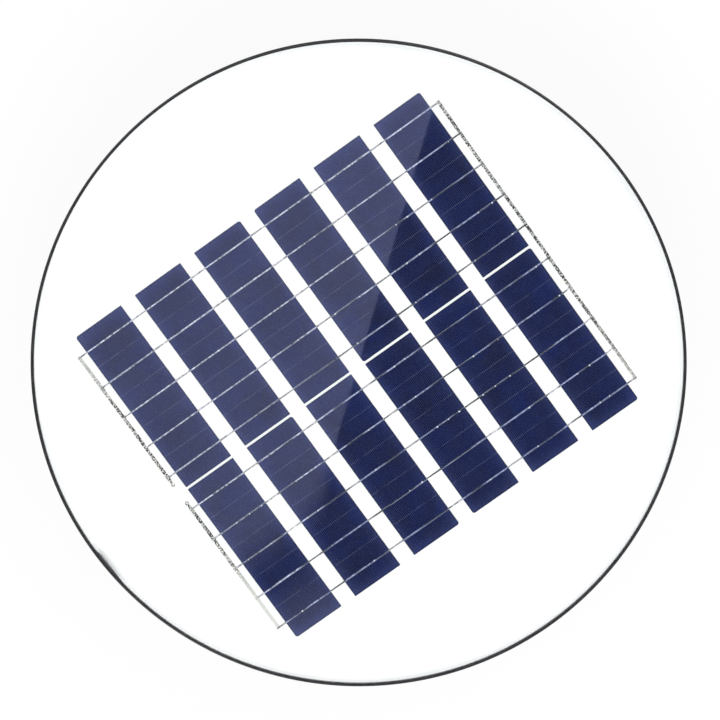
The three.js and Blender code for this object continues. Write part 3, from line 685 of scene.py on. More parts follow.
def cut(me, cutter_shape, angle=32):
    """The mesh with a shape cut out of it. The cutter's own faces keep the mesh's first material."""
    a = bpy.data.objects.new("cut_a", me)
    cm = cutter_shape.mesh("cut_b", [me.materials[0]])
    b = bpy.data.objects.new("cut_b", cm)
    scene.collection.objects.link(a)
    scene.collection.objects.link(b)
    mod = a.modifiers.new("cut", "BOOLEAN")
    mod.operation, mod.solver, mod.object = "DIFFERENCE", "EXACT", b
    bpy.context.view_layer.update()
    out = bpy.data.meshes.new_from_object(a.evaluated_get(bpy.context.evaluated_depsgraph_get()))
    name = me.name
    bpy.data.objects.remove(a)
    bpy.data.objects.remove(b)
    bpy.data.meshes.remove(cm)
    bpy.data.meshes.remove(me)
    out.name = name
    shade(out, angle)
    return out


def rounded(pts, r, n=4, closed=True, sharp=()):
    """A polygon's corners rounded to radius r, except those in sharp. r may be a dict by index."""
    out, N = [], len(pts)
    for i, p in enumerate(pts):
        rr = r.get(i, r.get("all", 0)) if isinstance(r, dict) else r
        if i in sharp or rr <= 0 or (not closed and i in (0, N - 1)):
            out.append(tuple(p))
            continue
        a, b, c = Vector(pts[i - 1]), Vector(p), Vector(pts[(i + 1) % N])
        u, v = a - b, c - b
        lu, lv = u.length, v.length
        if lu < 1e-6 or lv < 1e-6:
            continue
        u, v = u / lu, v / lv
        ang = math.acos(max(-1, min(1, u.dot(v))))
        if ang > math.pi - 0.04:
            out.append(tuple(p))
            continue
        t = min(rr / math.tan(ang / 2), lu * 0.49, lv * 0.49)
        R = t * math.tan(ang / 2)
        cen = b + (u + v).normalized() * (R / math.sin(ang / 2))
        a1 = b + u * t - cen
        a2 = b + v * t - cen
        th = math.atan2(a1.x * a2.y - a1.y * a2.x, a1.dot(a2))
        for k in range(n + 1):
            q = th * k / n
            out.append((cen.x + a1.x * math.cos(q) - a1.y * math.sin(q), cen.y + a1.x * math.sin(q) + a1.y * math.cos(q)))
    return out


def rotz(deg):
    return Matrix.Rotation(math.radians(deg), 4, "Z")


def move(x, y, z):
    return Matrix.Translation((x, y, z))


def place_mm(M):
    """A placement written in millimetres, as metres."""
    M = M.copy()
    M.translation = M.translation * MM
    return M


def circle(r, n, x=0, y=0):
    return [(x + r * math.cos(2 * math.pi * k / n), y + r * math.sin(2 * math.pi * k / n)) for k in range(n)]


# ------------------------------------------------------------------ solar laminate
g = Shape()
GR, GZ0, GZ1 = 271.3, 212.0, 215.2
prof = rounded([(0, GZ0), (GR, GZ0), (GR, GZ1), (0, GZ1)], {1: 0.5, 2: 0.5}, 3, closed=False)
g.lathe(prof, 256)
me = g.mesh("front_glass_pane", [GLASS, GLASS_BACK, GLASS_SIDE], 25)
for p in me.polygons:
    c = p.center
    p.material_index = 0 if p.normal.z > 0.6 else (1 if p.normal.z < -0.6 else 2)
front = obj("front_glass_pane", me, "frame", ["front_glass"])

bs = Shape()
bs.lathe(rounded([(0, 209.4), (271.3, 209.4), (271.3, 211.95), (270.9, 211.95), (270.6, 210.4), (0, 210.4)], {1: 0.3, 2: 0.15, 3: 0.15, 4: 0.3}, 2, closed=False), 256)
obj("backsheet_film", bs.mesh("backsheet_film", [WHITE]), "frame", ["backsheet"])

# Cell strips, with the small corner cuts a wafer has on its outer strips.
chamfers = {("a", 1): "tl", ("a", 3): "tr", ("a", 4): "tl bl", ("a", 6): "tr", ("b", 1): "bl", ("b", 2): "tr", ("b", 3): "br", ("b", 4): "bl", ("b", 6): "tr br"}
for row, side in (("a", 1), ("b", -1)):
    for c in range(6):
        x = GRID_X + (c - 2.5) * PITCH
        y = GRID_Y + side * (ROW_GAP / 2 + CELL_L / 2)
        hw, hl = CELL_W / 2, CELL_L / 2
        flags = chamfers.get((row, c + 1), "").split()
        poly = []
        for key, sx, sy in (("bl", -1, -1), ("br", 1, -1), ("tr", 1, 1), ("tl", -1, 1)):
            cx, cy = x + sx * hw, y + sy * hl
            if key in flags:
                a, b = (cx - sx * 1.3, cy), (cx, cy - sy * 1.3)
                poly += [a, b] if (key in ("br", "tl")) else [b, a]
            else:
                poly.append((cx, cy))
        s = Shape()
        s.prism(poly, 210.7, 211.0, 0.05, 1)
        obj(f"cell_strip_{row}{c + 1}", s.mesh(f"cell_strip_{row}{c + 1}", [CELL], 40), "frame", [f"cell_{row}{c + 1}"])


def ribbon(shape, path, width, thick, mats, sides=True):
    """A flat ribbon along X. path rows are (x, y, z, width factor, height factor, material)."""
    verts, faces, fm = [], [], []
    for x, y, z, wf, hf, m in path:
        w, h = width * wf / 2, thick * hf
        for dy, dz in ((-w, 0), (-w, h * 0.55), (-w * 0.72, h), (0, h * 1.06), (w * 0.72, h), (w, h * 0.55), (w, 0)):
            verts.append((x, y + dy, z + dz))
    n = 7
    for i in range(len(path) - 1):
        for k in range(n):
            a, b = i * n, (i + 1) * n
            faces.append((a + k, b + k, b + (k + 1) % n, a + (k + 1) % n))
            fm.append(path[i][5])
    faces.append(tuple(range(n)))
    fm.append(path[0][5])
    e = (len(path) - 1) * n
    faces.append(tuple(range(e, e + n))[::-1])
    fm.append(path[-1][5])
    shape.put(verts, faces, fm)


def wander(seed):
    """Small sideways errors of a hand-laid ribbon, as a function of x."""
    r = random.Random(seed)
    knots = sorted(r.uniform(-190, 190) for _ in range(9))
    vals = [r.uniform(-0.28, 0.28) for _ in range(10)]
    jogs = [(r.uniform(-170, 170), r.uniform(-0.42, 0.42)) for _ in range(2)]
    xs = [-200] + knots
    def f(x):
        y = float(np.interp(x, xs, vals))
        for jx, jd in jogs:
            t = max(0.0, min(1.0, (x - jx) / 1.2 + 0.5))
            k = max(0.0, 1 - abs(x - jx) / 26.0)
            y += jd * (t - 0.5) * k
        return y
    return f


X_L = GRID_X - 2.5 * PITCH - CELL_W / 2
X_R = GRID_X + 2.5 * PITCH + CELL_W / 2
BUS_L, BUS_R = X_L - 7.9, X_R + 8.0
TOP_Z, LOW_Z = 211.0, 210.46


def ribbon_y(side, t):
    return GRID_Y + side * (ROW_GAP / 2 + CELL_L * t)


for row, side in (("a", 1), ("b", -1)):
    sh = Shape()
    for bi, t in enumerate(BUSBARS):
        y0 = ribbon_y(side, t)
        f = wander(31 * bi + (7 if side > 0 else 500))
        rr = random.Random(900 + bi + (0 if side > 0 else 50))
        # Each piece lies on one strip and dips under the next: to +X in row a, to -X in row b.
        for c in range(-1, 6):
            if side > 0:                                   # row a: top of strip c, then under strip c+1
                x0 = GRID_X + (c - 2.5) * PITCH - CELL_W / 2 + 0.5
                x1 = GRID_X + (c - 2.5) * PITCH + CELL_W / 2
                xe = x1 + (PITCH - CELL_W) + 7 if c < 5 else None
            path = []
            if side > 0:
                if c == -1:
                    for x in np.linspace(BUS_L - 1.2, X_L + 8, 24):
                        zz = 210.98 if x < BUS_L + 1.6 else 210.98 + (LOW_Z - 210.98) * min(1, (x - BUS_L - 1.6) / 3.0)
                        path.append((float(x), y0 + f(float(x)), zz, 1.18, 1.0, 1))
                else:
                    xs = list(np.arange(x0, x1 + 0.01, 0.46))
                    blobs = [x0 + 3.5 + 12.3 * k + rr.uniform(-1.6, 1.6) for k in range(4)]
                    amp = [rr.uniform(0.0, 1.0) ** 1.6 for _ in blobs]
                    for x in xs:
                        b = sum(a * math.exp(-((x - q) / 0.85) ** 2) for q, a in zip(blobs, amp))
                        w = 1.0 + 0.10 * b + 0.05 * math.sin(x * 1.9 + bi)
                        path.append((x, y0 + f(x), TOP_Z + 0.02, w * (1.12 if b > 0.45 else 1.0), 1.0 + 1.1 * b + 0.25 * math.sin(x * 2.7 + bi * 2) ** 2, 3 if b > 0.45 else 0))
                    if c < 5:
                        for x in np.linspace(x1 + 0.5, xe, 26):
                            k = max(0.0, min(1.0, (x - x1 - 0.3) / 13.0))
                            zz = TOP_Z + 0.02 + (LOW_Z - TOP_Z - 0.02) * k * k * (3 - 2 * k)
                            path.append((float(x), y0 + f(float(x)), zz, 1.18, 1.0, 1))
                    else:
                        for x in np.linspace(x1 + 0.4, BUS_R + 1.2, 16):
                            path.append((float(x), y0 + f(float(x)), 210.98, 1.18, 1.0, 1))
            else:
                if c == -1:
                    for x in np.linspace(BUS_R + 1.2, X_R - 8, 24):
                        zz = 210.98 if x > BUS_R - 1.6 else 210.98 + (LOW_Z - 210.98) * min(1, (BUS_R - 1.6 - x) / 3.0)
                        path.append((float(x), y0 + f(float(x)), zz, 1.18, 1.0, 1))
                else:
                    cc = 5 - c
                    x0 = GRID_X + (cc - 2.5) * PITCH + CELL_W / 2 - 0.5
                    x1 = GRID_X + (cc - 2.5) * PITCH - CELL_W / 2
                    xs = list(np.arange(x0, x1 - 0.01, -0.46))
                    blobs = [x0 - 3.5 - 12.3 * k + rr.uniform(-1.6, 1.6) for k in range(4)]
                    amp = [rr.uniform(0.0, 1.0) ** 1.6 for _ in blobs]
                    for x in xs:
                        b = sum(a * math.exp(-((x - q) / 0.85) ** 2) for q, a in zip(blobs, amp))
                        w = 1.0 + 0.10 * b + 0.05 * math.sin(x * 1.9 + bi)
                        path.append((x, y0 + f(x), TOP_Z + 0.02, w * (1.12 if b > 0.45 else 1.0), 1.0 + 1.1 * b + 0.25 * math.sin(x * 2.7 + bi * 2) ** 2, 3 if b > 0.45 else 0))
                    if c < 5:
                        for x in np.linspace(x1 - 0.5, x1 - (PITCH - CELL_W) - 7, 26):
                            k = max(0.0, min(1.0, (x1 - 0.3 - x) / 13.0))
                            zz = TOP_Z + 0.02 + (LOW_Z - TOP_Z - 0.02) * k * k * (3 - 2 * k)
                            path.append((float(x), y0 + f(float(x)), zz, 1.18, 1.0, 1))
                    else:
                        for x in np.linspace(x1 - 0.4, BUS_L - 1.2, 16):
                            path.append((float(x), y0 + f(float(x)), 210.98, 1.18, 1.0, 1))
            ribbon(sh, path, 1.0, 0.19, None)
    # terminal bus of this row, with its end turned down towards the junction box
    eye = 9.2 if side > 0 else 10.4
    a, b = GRID_Y + side * (eye + 1.35), ribbon_y(side, 0.9) + side * 0.9
    verts, faces, fm = [], [], []
    ys = np.linspace(a, b, 150)
    br = random.Random(77 + side)
    ph = [br.uniform(0, 6.28) for _ in range(4)]
    rows = []
    bus_x = BUS_L + (0.2 if side > 0 else 0.45)
    for i, y in enumerate(ys):
        w = 1.45 + 0.06 * math.sin(y * 0.9 + ph[0])
        cx = bus_x + 0.10 * math.sin(y * 0.11 + ph[1])
        zc = 210.5 + 0.05 * (1 + math.sin(y * 1.7 + ph[2])) + 0.03 * math.sin(y * 4.1 + ph[3])
        if i < 9:
            q = i / 9.0
            w *= 0.42 + 0.58 * math.sin(q * math.pi / 2)
            zc += 0.55 * math.sin(q * math.pi) - 0.05 * (1 - q)
        rows.append([(cx + dx * w, y, zc + dz) for dx, dz in ((-1, 0), (-1, 0.14), (-0.8, 0.22), (-0.3, 0.25), (0.3, 0.25), (0.8, 0.22), (1, 0.14), (1, 0))])
    for r_ in rows:
        verts += r_
    n = 8
    for i in range(len(rows) - 1):
        for k in range(n):
            faces.append((i * n + k, (i + 1) * n + k, (i + 1) * n + (k + 1) % n, i * n + (k + 1) % n))
    faces += [tuple(range(n)), tuple(range((len(rows) - 1) * n, len(rows) * n))[::-1]]
    sh.put(verts, faces, 2)
    name = f"row_{row}_ribbon_set"
    # the inner end is curled into a small flat eye
    ey = GRID_Y + side * eye
    pts = [(bus_x + 1.32 * math.sin(q * 0.30), ey + side * 1.32 * math.cos(q * 0.30), 210.64 + 0.008 * q) for q in range(20)]
    sh.tube(pts, [0.34 + 0.08 * math.sin(q * 1.3) ** 2 for q in range(20)], 10, 2)
    obj(name, sh.mesh(name, [SOLDERED, BARE, BUS, SOLDER], 50), "frame", [f"row_{row}_ribbons"])

sh = Shape()
verts, faces = [], []
ys = np.linspace(ribbon_y(-1, 0.9) - 0.9, ribbon_y(1, 0.9) + 0.9, 300)
n = 8
for y in ys:
    w = 1.36 + 0.05 * math.sin(y * 0.83)
    cx = BUS_R + 0.16 * math.sin(y * 0.045 + 0.5)
    zc = 210.5 + 0.05 * (1 + math.sin(y * 1.9)) + 0.03 * math.sin(y * 4.7)
    verts += [(cx + dx * w, y, zc + dz) for dx, dz in ((-1, 0), (-1, 0.14), (-0.8, 0.22), (-0.3, 0.25), (0.3, 0.25), (0.8, 0.22), (1, 0.14), (1, 0))]
for i in range(len(ys) - 1):
    for k in range(n):
        faces.append((i * n + k, (i + 1) * n + k, (i + 1) * n + (k + 1) % n, i * n + (k + 1) % n))
faces += [tuple(range(n)), tuple(range((len(ys) - 1) * n, len(ys) * n))[::-1]]
sh.put(verts, faces, 0)
obj("cross_bus_strip", sh.mesh("cross_bus_strip", [BUS], 50), "frame", ["cross_bus_ribbon"])

# Silicone in the gap between glass and rim, slightly uneven.
sh = Shape()
segs = 360
prof = rounded([(271.28, 209.2), (272.42, 209.2), (272.42, 215.1), (271.28, 215.0)], {2: 0.35, 3: 0.35}, 3)
verts, faces = [], []
for k in range(segs):
    a = 2 * math.pi * k / segs
    h = 0.16 * math.sin(a * 7 + 1.0) + 0.12 * math.sin(a * 19 + 2.2) + 0.07 * math.sin(a * 47)
    for r, z in prof:
        verts.append((r * math.cos(a), r * math.sin(a), z + (h if z > 212 else 0)))
m_ = len(prof)
for k in range(segs):
    for j in range(m_):
        a, b = k * m_, ((k + 1) % segs) * m_
        faces.append((a + j, b + j, b + (j + 1) % m_, a + (j + 1) % m_))
sh.put(verts, faces)
# where a little silicone was wiped over the edge of the glass
verts, faces = [], []
for k in range(65):
    d = 178.9 + 8.9 * k / 64
    w = min(1.0, (d - 178.9) / 2.1) ** 1.4 * max(0.0, 1.0 - max(0.0, (d - 181.0) / 6.8) ** 2.0)
    ri = 271.25 - (2.45 + 0.12 * math.sin(d * 9.0)) * w
    a = math.radians(d)
    for r, z in ((271.7, 215.21), (271.7, 215.27 + 0.12 * w), (0.5 * (ri + 271.7), 215.27 + 0.07 * w), (ri + 0.1, 215.25), (ri, 215.21)):
        verts.append((r * math.cos(a), r * math.sin(a), z))
for k in range(64):
    for j in range(5):
        faces.append((k * 5 + j, (k + 1) * 5 + j, (k + 1) * 5 + (j + 1) % 5, k * 5 + (j + 1) % 5))
faces += [tuple(range(5)), tuple(range(320, 325))[::-1]]
sh.put(verts, faces, 1)
obj("rim_silicone", sh.mesh("rim_silicone", [SEAL, SMEAR], 40), "frame", ["edge_sealant"])

# ------------------------------------------------------------------ hood
hp = [(0, 199.8), (58, 199.8), (62, 201.8), (74, 201.8), (78, 199.8), (192, 199.8), (196, 202.0), (206, 202.0), (210, 199.8),
      (251, 199.8), (257.5, 207.8), (272.6, 207.8), (268.9, 175.2), (266.0, 174.6), (265.2, 173.3), (266.0, 172.0),
      (269.6, 172.0), (270.6, 173.2), (270.8, 175.9), (270.0, 176.8), (270.15, 178.4), (271.05, 179.3), (273.6, 207.0), (273.9, 215.2), (273.1, 216.0), (272.7, 216.0), (272.4, 215.4),
      (272.4, 209.0), (256.6, 209.0), (250.1, 201.0), (209.4, 201.0), (205.4, 203.2), (196.6, 203.2), (192.6, 201.0),
      (77.4, 201.0), (73.4, 203.0), (62.6, 203.0), (58.6, 201.0), (0, 201.0)]
rad = {i: 3.0 for i in range(len(hp))}
rad.update({0: 0, len(hp) - 1: 0, 11: 1.0, 12: 1.2, 13: 0.7, 14: 0.7, 15: 0.7, 16: 0.9, 17: 0.9, 18: 0.4, 19: 0.4, 20: 0.4, 21: 0.4, 22: 3.0, 23: 0.7, 24: 0.7, 25: 0.4, 26: 0.4, 27: 0.6})
h = Shape()
h.lathe(rounded(hp, rad, 4, closed=False), 256)
for k in range(4):
    a = math.radians(45 + 90 * k)
    h.lathe(rounded([(0, 200.2), (6.2, 200.2), (5.4, 203.5), (5.0, 206.5), (0, 206.5)], {1: 0, 2: 1.5, 3: 1.0}, 3, closed=False), 32, 0, move(146 * math.cos(a), 146 * math.sin(a), 0))
hood_me = h.mesh("hood_pressing", [COAT], 30)
c = Shape()
c.rbox(-245, -33, 196, -185, 33, 204.5, 3.0, 3)
for k in range(4):
    a = math.radians(45 + 90 * k)
    c.lathe([(0, 197), (2.75, 197), (2.75, 205), (0, 205)], 24, 0, move(146 * math.cos(a), 146 * math.sin(a), 0))
hood_me = cut(hood_me, c, 30)
obj("hood_pressing", hood_me, "frame", ["hood"])

# ------------------------------------------------------------------ base flashing
fp = [(250.0, 0.0), (250.0, 2.2), (246.6, 2.4), (245.4, 1.5), (214, 1.5), (212, 3.4), (205, 3.4), (203, 1.5), (190.5, 1.5), (184.4, 4.6), (163.6, 42.0), (161.5, 49.0),
      (161.5, 120.5), (157.6, 120.5), (157.6, 118.1), (160.0, 118.1), (160.0, 48.4), (161.9, 41.4), (182.6, 3.4), (188.9, 0.0), (203.6, 0.0), (205.6, 1.9), (211.4, 1.9), (213.4, 0.0)]
rad = {"all": 2.0, 0: 0.6, 1: 0.8, 2: 0.8, 3: 0.6, 10: 12.0, 11: 10.0, 12: 1.4, 13: 1.0, 14: 0.8, 15: 0.6, 16: 10.0, 17: 12.0, 9: 8.0, 18: 8.0}
b = Shape()
b.lathe(rounded(fp, rad, 5), 224)
flash = b.mesh("flashing_spinning", [COAT_SPUN], 30)
c = Shape()
for k in range(8):
    a = math.radians(45 * (k + 0.5))
    c.lathe([(0, -1), (3.0, -1), (3.0, 4), (0, 4)], 24, 0, move(235 * math.cos(a), 235 * math.sin(a), 0))
for k in range(4):
    c.lathe([(0, -14), (2.9, -14), (2.9, 14), (0, 14)], 24, 0, rotz(45 + 90 * k) @ move(160, 0, 110) @ Matrix.Rotation(math.pi / 2, 4, "Y"))
obj("flashing_spinning", cut(flash, c, 30), "frame", ["base_flashing"])


# ------------------------------------------------------------------ fasteners
def hex_poly(af, n=6):
    r = af / math.cos(math.pi / 6) / 2
    return [(r * math.cos(math.pi / 3 * k), r * math.sin(math.pi / 3 * k)) for k in range(6)]


def hex_head(shape, z0, z1, af=8.0, mat=0, bore=0.0):
    """A hexagon whose top corners are turned off by a 30 degree chamfer, bored or solid."""
    segs = 48
    R = af / 2 / math.cos(math.pi / 6)
    def rad_at(a, cap):
        k = (a + math.pi / 6) % (math.pi / 3) - math.pi / 6
        return min(af / 2 / math.cos(((a - math.pi / 6) % (math.pi / 3)) - math.pi / 6), cap)
    rings = []
    lo, hi = min(z0, z1), max(z0, z1)
    top_up = z1 > z0
    prof = [(R + 1, 0.0), (R + 1, abs(z1 - z0) - 0.55), (af / 2 + 0.15, abs(z1 - z0) - 0.08), (af / 2 - 0.35, abs(z1 - z0))]
    verts, faces = [], []
    for cap, dz in prof:
        z = z0 + dz * (1 if top_up else -1)
        for k in range(segs):
            a = 2 * math.pi * k / segs
            r = rad_at(a, cap)
            verts.append((r * math.cos(a), r * math.sin(a), z))
    nr = len(prof)
    for i in range(nr - 1):
        for k in range(segs):
            faces.append((i * segs + k, i * segs + (k + 1) % segs, (i + 1) * segs + (k + 1) % segs, (i + 1) * segs + k))
    if bore:
        base = len(verts)
        for z in (z0, z1):
            for k in range(segs):
                a = 2 * math.pi * k / segs
                verts.append((bore * math.cos(a), bore * math.sin(a), z))
        for k in range(segs):
            j = (k + 1) % segs
            faces.append((k, j, base + j, base + k))
            faces.append(((nr - 1) * segs + k, (nr - 1) * segs + j, base + segs + j, base + segs + k))
            faces.append((base + k, base + j, base + segs + j, base + segs + k))
    else:
        faces += [tuple(range(segs)), tuple(range((nr - 1) * segs, nr * segs))]
    shape.put(verts, faces, mat)


def threaded(shape, z0, z1, r=2.5, pitch=0.8, segs=32, mat=0, chamfer=0.5):
    """A shank with a helical thread, closed at both ends."""
    depth = 0.6134 * pitch * 0.8
    per = 4
    turns_and_groove_shade = (z1 - z0) / pitch
    rows = int(turns_and_groove_shade * per)
    verts, faces = [], []
    for i in range(rows + 1):
        z = z0 + (z1 - z0) * i / rows
        for k in range(segs):
            a = 2 * math.pi * k / segs
            ph = ((z - z0) / pitch - k / segs) % 1.0
            rr = r - depth * (1 - abs(ph * 2 - 1))
            end = min(1.0, (z1 - z) / chamfer if chamfer else 1.0)
            rr -= (1 - end) * 0.6
            verts.append((rr * math.cos(a), rr * math.sin(a), z))
    for i in range(rows):
        for k in range(segs):
            faces.append((i * segs + k, i * segs + (k + 1) % segs, (i + 1) * segs + (k + 1) % segs, (i + 1) * segs + k))
    faces += [tuple(range(segs)), tuple(range(rows * segs, (rows + 1) * segs))]
    shape.put(verts, faces, mat)


def bolt_mesh(name, length):
    s = Shape()
    hex_head(s, -0.9, -4.2, 8.0)
    s.lathe(rounded([(0, -0.02), (5.8, -0.02), (5.8, -0.55), (4.7, -1.25), (0, -1.3)], {1: 0.2, 2: 0.3, 3: 0.2}, 3, closed=False), 40)
    threaded(s, -0.5, length, 2.5)
    return s.mesh(name, [ZINC], 30)


def nut_mesh(name):
    s = Shape()
    hex_head(s, 0.0, 4.0, 8.0, bore=2.56)
    return s.mesh(name, [ZINC], 30)


base_bolt_me, hood_bolt_me, nut_me = bolt_mesh("flange_bolt_long", 16.0), bolt_mesh("flange_bolt_short", 7.6), nut_mesh("hex_nut")

# brackets: a bent strap with a pressed rib down its leg
BI, BT, BW, BZ, BTOP = 161.8, 2.5, 25.0, 86.0, 199.5
s = Shape()
outer = [(BI, BZ), (BI + BT, BZ), (BI + BT, BTOP), (128, BTOP), (128, BTOP - BT), (BI, BTOP - BT)]
op = rounded(outer, {0: 0.5, 1: 0.5, 2: 4.0, 3: 0.5, 4: 0.5, 5: 1.6}, 6)
bm = bmesh.new()
f0 = bm.faces.new([bm.verts.new((x, -BW / 2, z)) for x, z in op])
ext = bmesh.ops.extrude_face_region(bm, geom=[f0])
bmesh.ops.translate(bm, vec=(0, BW, 0), verts=[q for q in ext["geom"] if isinstance(q, bmesh.types.BMVert)])
bmesh.ops.recalc_face_normals(bm, faces=bm.faces)
rim_edges = [e for e in bm.edges if abs(e.verts[0].co.y - e.verts[1].co.y) < 1e-6]
bmesh.ops.bevel(bm, geom=rim_edges, offset=0.35, segments=2, affect="EDGES", profile=0.5, clamp_overlap=True)
s.take(bm)
s.prism(rounded([(-3.2, 124), (3.2, 124), (3.2, 186), (-3.2, 186)], 3.1, 6), -0.3, 1.1, 0.7, 3, 0,
        Matrix(((0, 0, 1, BI + BT), (1, 0, 0, 0), (0, 1, 0, 0), (0, 0, 0, 1))))
bracket = s.mesh("hood_strap", [COAT], 30)
c = Shape()
c.lathe([(0, -8), (2.9, -8), (2.9, 8), (0, 8)], 24, 0, move(163, 0, 110) @ Matrix.Rotation(math.pi / 2, 4, "Y"))
c.lathe([(0, 190), (2.9, 190), (2.9, 205), (0, 205)], 24, 0, move(146, 0, 0))
bracket = cut(bracket, c, 30)
for k in range(4):
    R = rotz(45 + 90 * k)
    obj(f"hood_strap_{k + 1}", bracket, "frame", [f"hood_bracket_{k + 1}"], place_mm(R))
    lie = Matrix.Rotation(-math.pi / 2, 4, "Y")
    spin = rng.uniform(0, 60)
    obj(f"flange_bolt_base_{k + 1}", base_bolt_me, "frame", [f"base_bolt_{k + 1}"], place_mm(R @ move(BI + BT + 0.15, 0, 110) @ lie @ rotz(spin)))
    obj(f"hex_nut_base_{k + 1}", nut_me, "frame", [f"base_nut_{k + 1}"], place_mm(R @ move(156.85, 0, 110) @ lie @ rotz(spin * 0.7)))
    obj(f"flange_bolt_hood_{k + 1}", hood_bolt_me, "frame", [f"hood_bolt_{k + 1}"], place_mm(R @ move(146, 0, BTOP - BT - 0.15) @ rotz(spin * 1.3)))

# ------------------------------------------------------------------ bird screen: welded wire mesh rolled into a cylinder
s = Shape()
N, RW, Z0, Z1 = 170, 0.5, 102.4, 196.3
NOTCH = 7.0
for k in range(N):
    a = 2 * math.pi * (k + 0.5) / N
    x, y = 172.5 * math.cos(a), 172.5 * math.sin(a)
    top = 183.8 if (x < 0 and abs(y) < NOTCH + 0.4) else Z1
    s.tube([(x, y, Z0), (x, y, (Z0 + top) / 2), (x, y, top)], RW, 6)
pitch = 2 * math.pi * 172.5 / N
nz = int((Z1 - Z0) / pitch)
for i in range(nz + 1):
    z = Z0 + 0.7 + i * (Z1 - Z0 - 1.4) / nz
    rr = 172.5 + 0.62
    if z < 183.6:
        s.tube([(rr * math.cos(2 * math.pi * k / 170), rr * math.sin(2 * math.pi * k / 170), z) for k in range(170)], RW, 6, closed=True)
    else:
        a0 = math.pi + math.asin(NOTCH / rr)
        a1 = 3 * math.pi - math.asin(NOTCH / rr)
        s.tube([(rr * math.cos(a0 + (a1 - a0) * k / 168), rr * math.sin(a0 + (a1 - a0) * k / 168), z) for k in range(169)], RW, 6)
obj("bird_screen_mesh", s.mesh("bird_screen_mesh", [GALV], 60), "frame", ["bird_screen"])

s = Shape()
s.lathe(rounded([(165.5, 100.2), (174.8, 100.2), (174.8, 110), (173.5, 110), (173.5, 101.7), (165.5, 101.7)], {0: 0.4, 1: 1.6, 2: 0.5, 3: 0.5, 4: 0.8, 5: 0.4}, 4), 192)
obj("screen_ring_lower", s.mesh("screen_ring_lower", [COAT], 30), "frame", ["screen_lower_ring"])
s = Shape()
s.lathe(rounded([(173.5, 186), (174.8, 186), (174.8, 198), (183, 198), (183, 199.5), (173.5, 199.5)], {0: 0.5, 1: 0.5, 2: 0.8, 3: 0.5, 4: 0.6, 5: 1.5}, 4), 192)
c = Shape()
c.rbox(-184.5, -7.2, 182, -165, 7.2, 198.02, 0.8, 2)
obj("screen_ring_upper", cut(s.mesh("screen_ring_upper", [COAT], 30), c, 30), "frame", ["screen_upper_ring"])

# ------------------------------------------------------------------ junction box, gland and cable
JX0, JX1, JY, JZ0, JZ1 = -244.0, -186.0, 32.0, 189.0, 209.0
s = Shape()
s.rbox(JX0, -JY, JZ0, JX1, JY, JZ1, 2.6, 4)
jb = s.mesh("junction_box_shell", [PLASTIC], 30)
c = Shape()
c.rbox(JX0 + 2, -JY + 2, JZ0 - 4, JX1 - 2, JY - 2, JZ1 - 2, 1.2, 3)
jb = cut(jb, c, 30)
c = Shape()
c.lathe([(0, -6), (3.3, -6), (3.3, 6), (0, 6)], 32, 0, move(JX1, 0, 193.5) @ Matrix.Rotation(math.pi / 2, 4, "Y"))
obj("junction_box_shell", cut(jb, c, 30), "frame", ["junction_box"])
s = Shape()
s.rbox(JX0, -JY, JZ0 - 2.8, JX1, JY, JZ0 - 0.15, 0.9, 3)
s.rbox(JX0 + 2.6, -JY + 2.6, JZ0 - 1, JX1 - 2.6, JY - 2.6, JZ0 + 1, 0.4, 2)
for sx, sy in ((1, 1), (1, -1), (-1, 1), (-1, -1)):      # captive screws
    s.lathe(rounded([(0, JZ0 - 3.5), (2.6, JZ0 - 3.5), (2.9, JZ0 - 2.4), (0, JZ0 - 2.4)], {1: 0.5}, 3, closed=False), 24, 1, move((JX0 + JX1) / 2 + sx * 24, sy * 27, 0))
for q in range(5):                                       # shallow ribs on the lid
    s.rbox(-229 + q * 7 - 1.0, -18, JZ0 - 3.4, -229 + q * 7 + 1.0, 18, JZ0 - 2.6, 0.3, 2)
obj("junction_box_cover", s.mesh("junction_box_cover", [PLASTIC, ZINC], 30), "frame", ["junction_box_lid"])

s = Shape()
GX = JX1 + 0.15
T = move(GX, 0, 193.5) @ Matrix.Rotation(math.pi / 2, 4, "Y")
hexa = Shape()
hex_head(hexa, 0.0, 2.2, 11.6, bore=3.4)
s.put(hexa.v, hexa.f, 0, T)
s.lathe(rounded([(3.4, 2.0), (4.35, 2.0), (4.35, 5.6), (3.9, 7.2), (3.4, 7.2)], {2: 0.8, 3: 0.4}, 3), 32, 0, T)
for k in range(12):
    s.prism(rounded([(4.15, -0.45), (4.62, -0.3), (4.62, 0.3), (4.15, 0.45)], 0.1, 2), 2.4, 5.2, 0.1, 1, 0, T @ rotz(30 * k))
obj("cable_gland_nut", s.mesh("cable_gland_nut", [PLASTIC], 30), "frame", ["cable_gland"])


def catmull(P, n):
    P = [Vector(p) for p in P]
    Q = [P[0] * 2 - P[1]] + P + [P[-1] * 2 - P[-2]]
    out = []
    for i in range(1, len(Q) - 2):
        for k in range(n):
            t = k / n
            a, b, c_, d = Q[i - 1], Q[i], Q[i + 1], Q[i + 2]
            out.append(0.5 * ((2 * b) + (c_ - a) * t + (2 * a - 5 * b + 4 * c_ - d) * t * t + (-a + 3 * b - 3 * c_ + d) * t ** 3))
    out.append(P[-1])
    return out


s = Shape()
cable = catmull([(-188.0, 0, 193.5), (-178, 0, 193.5), (-165, 0, 193.5), (-140, 0, 189), (-105, 0, 174), (-70, 0, 169), (-46, 0, 171), (-34.5, 0, 164), (-34, 0, 151.0)], 12)
s.tube(cable, 2.8, 20)
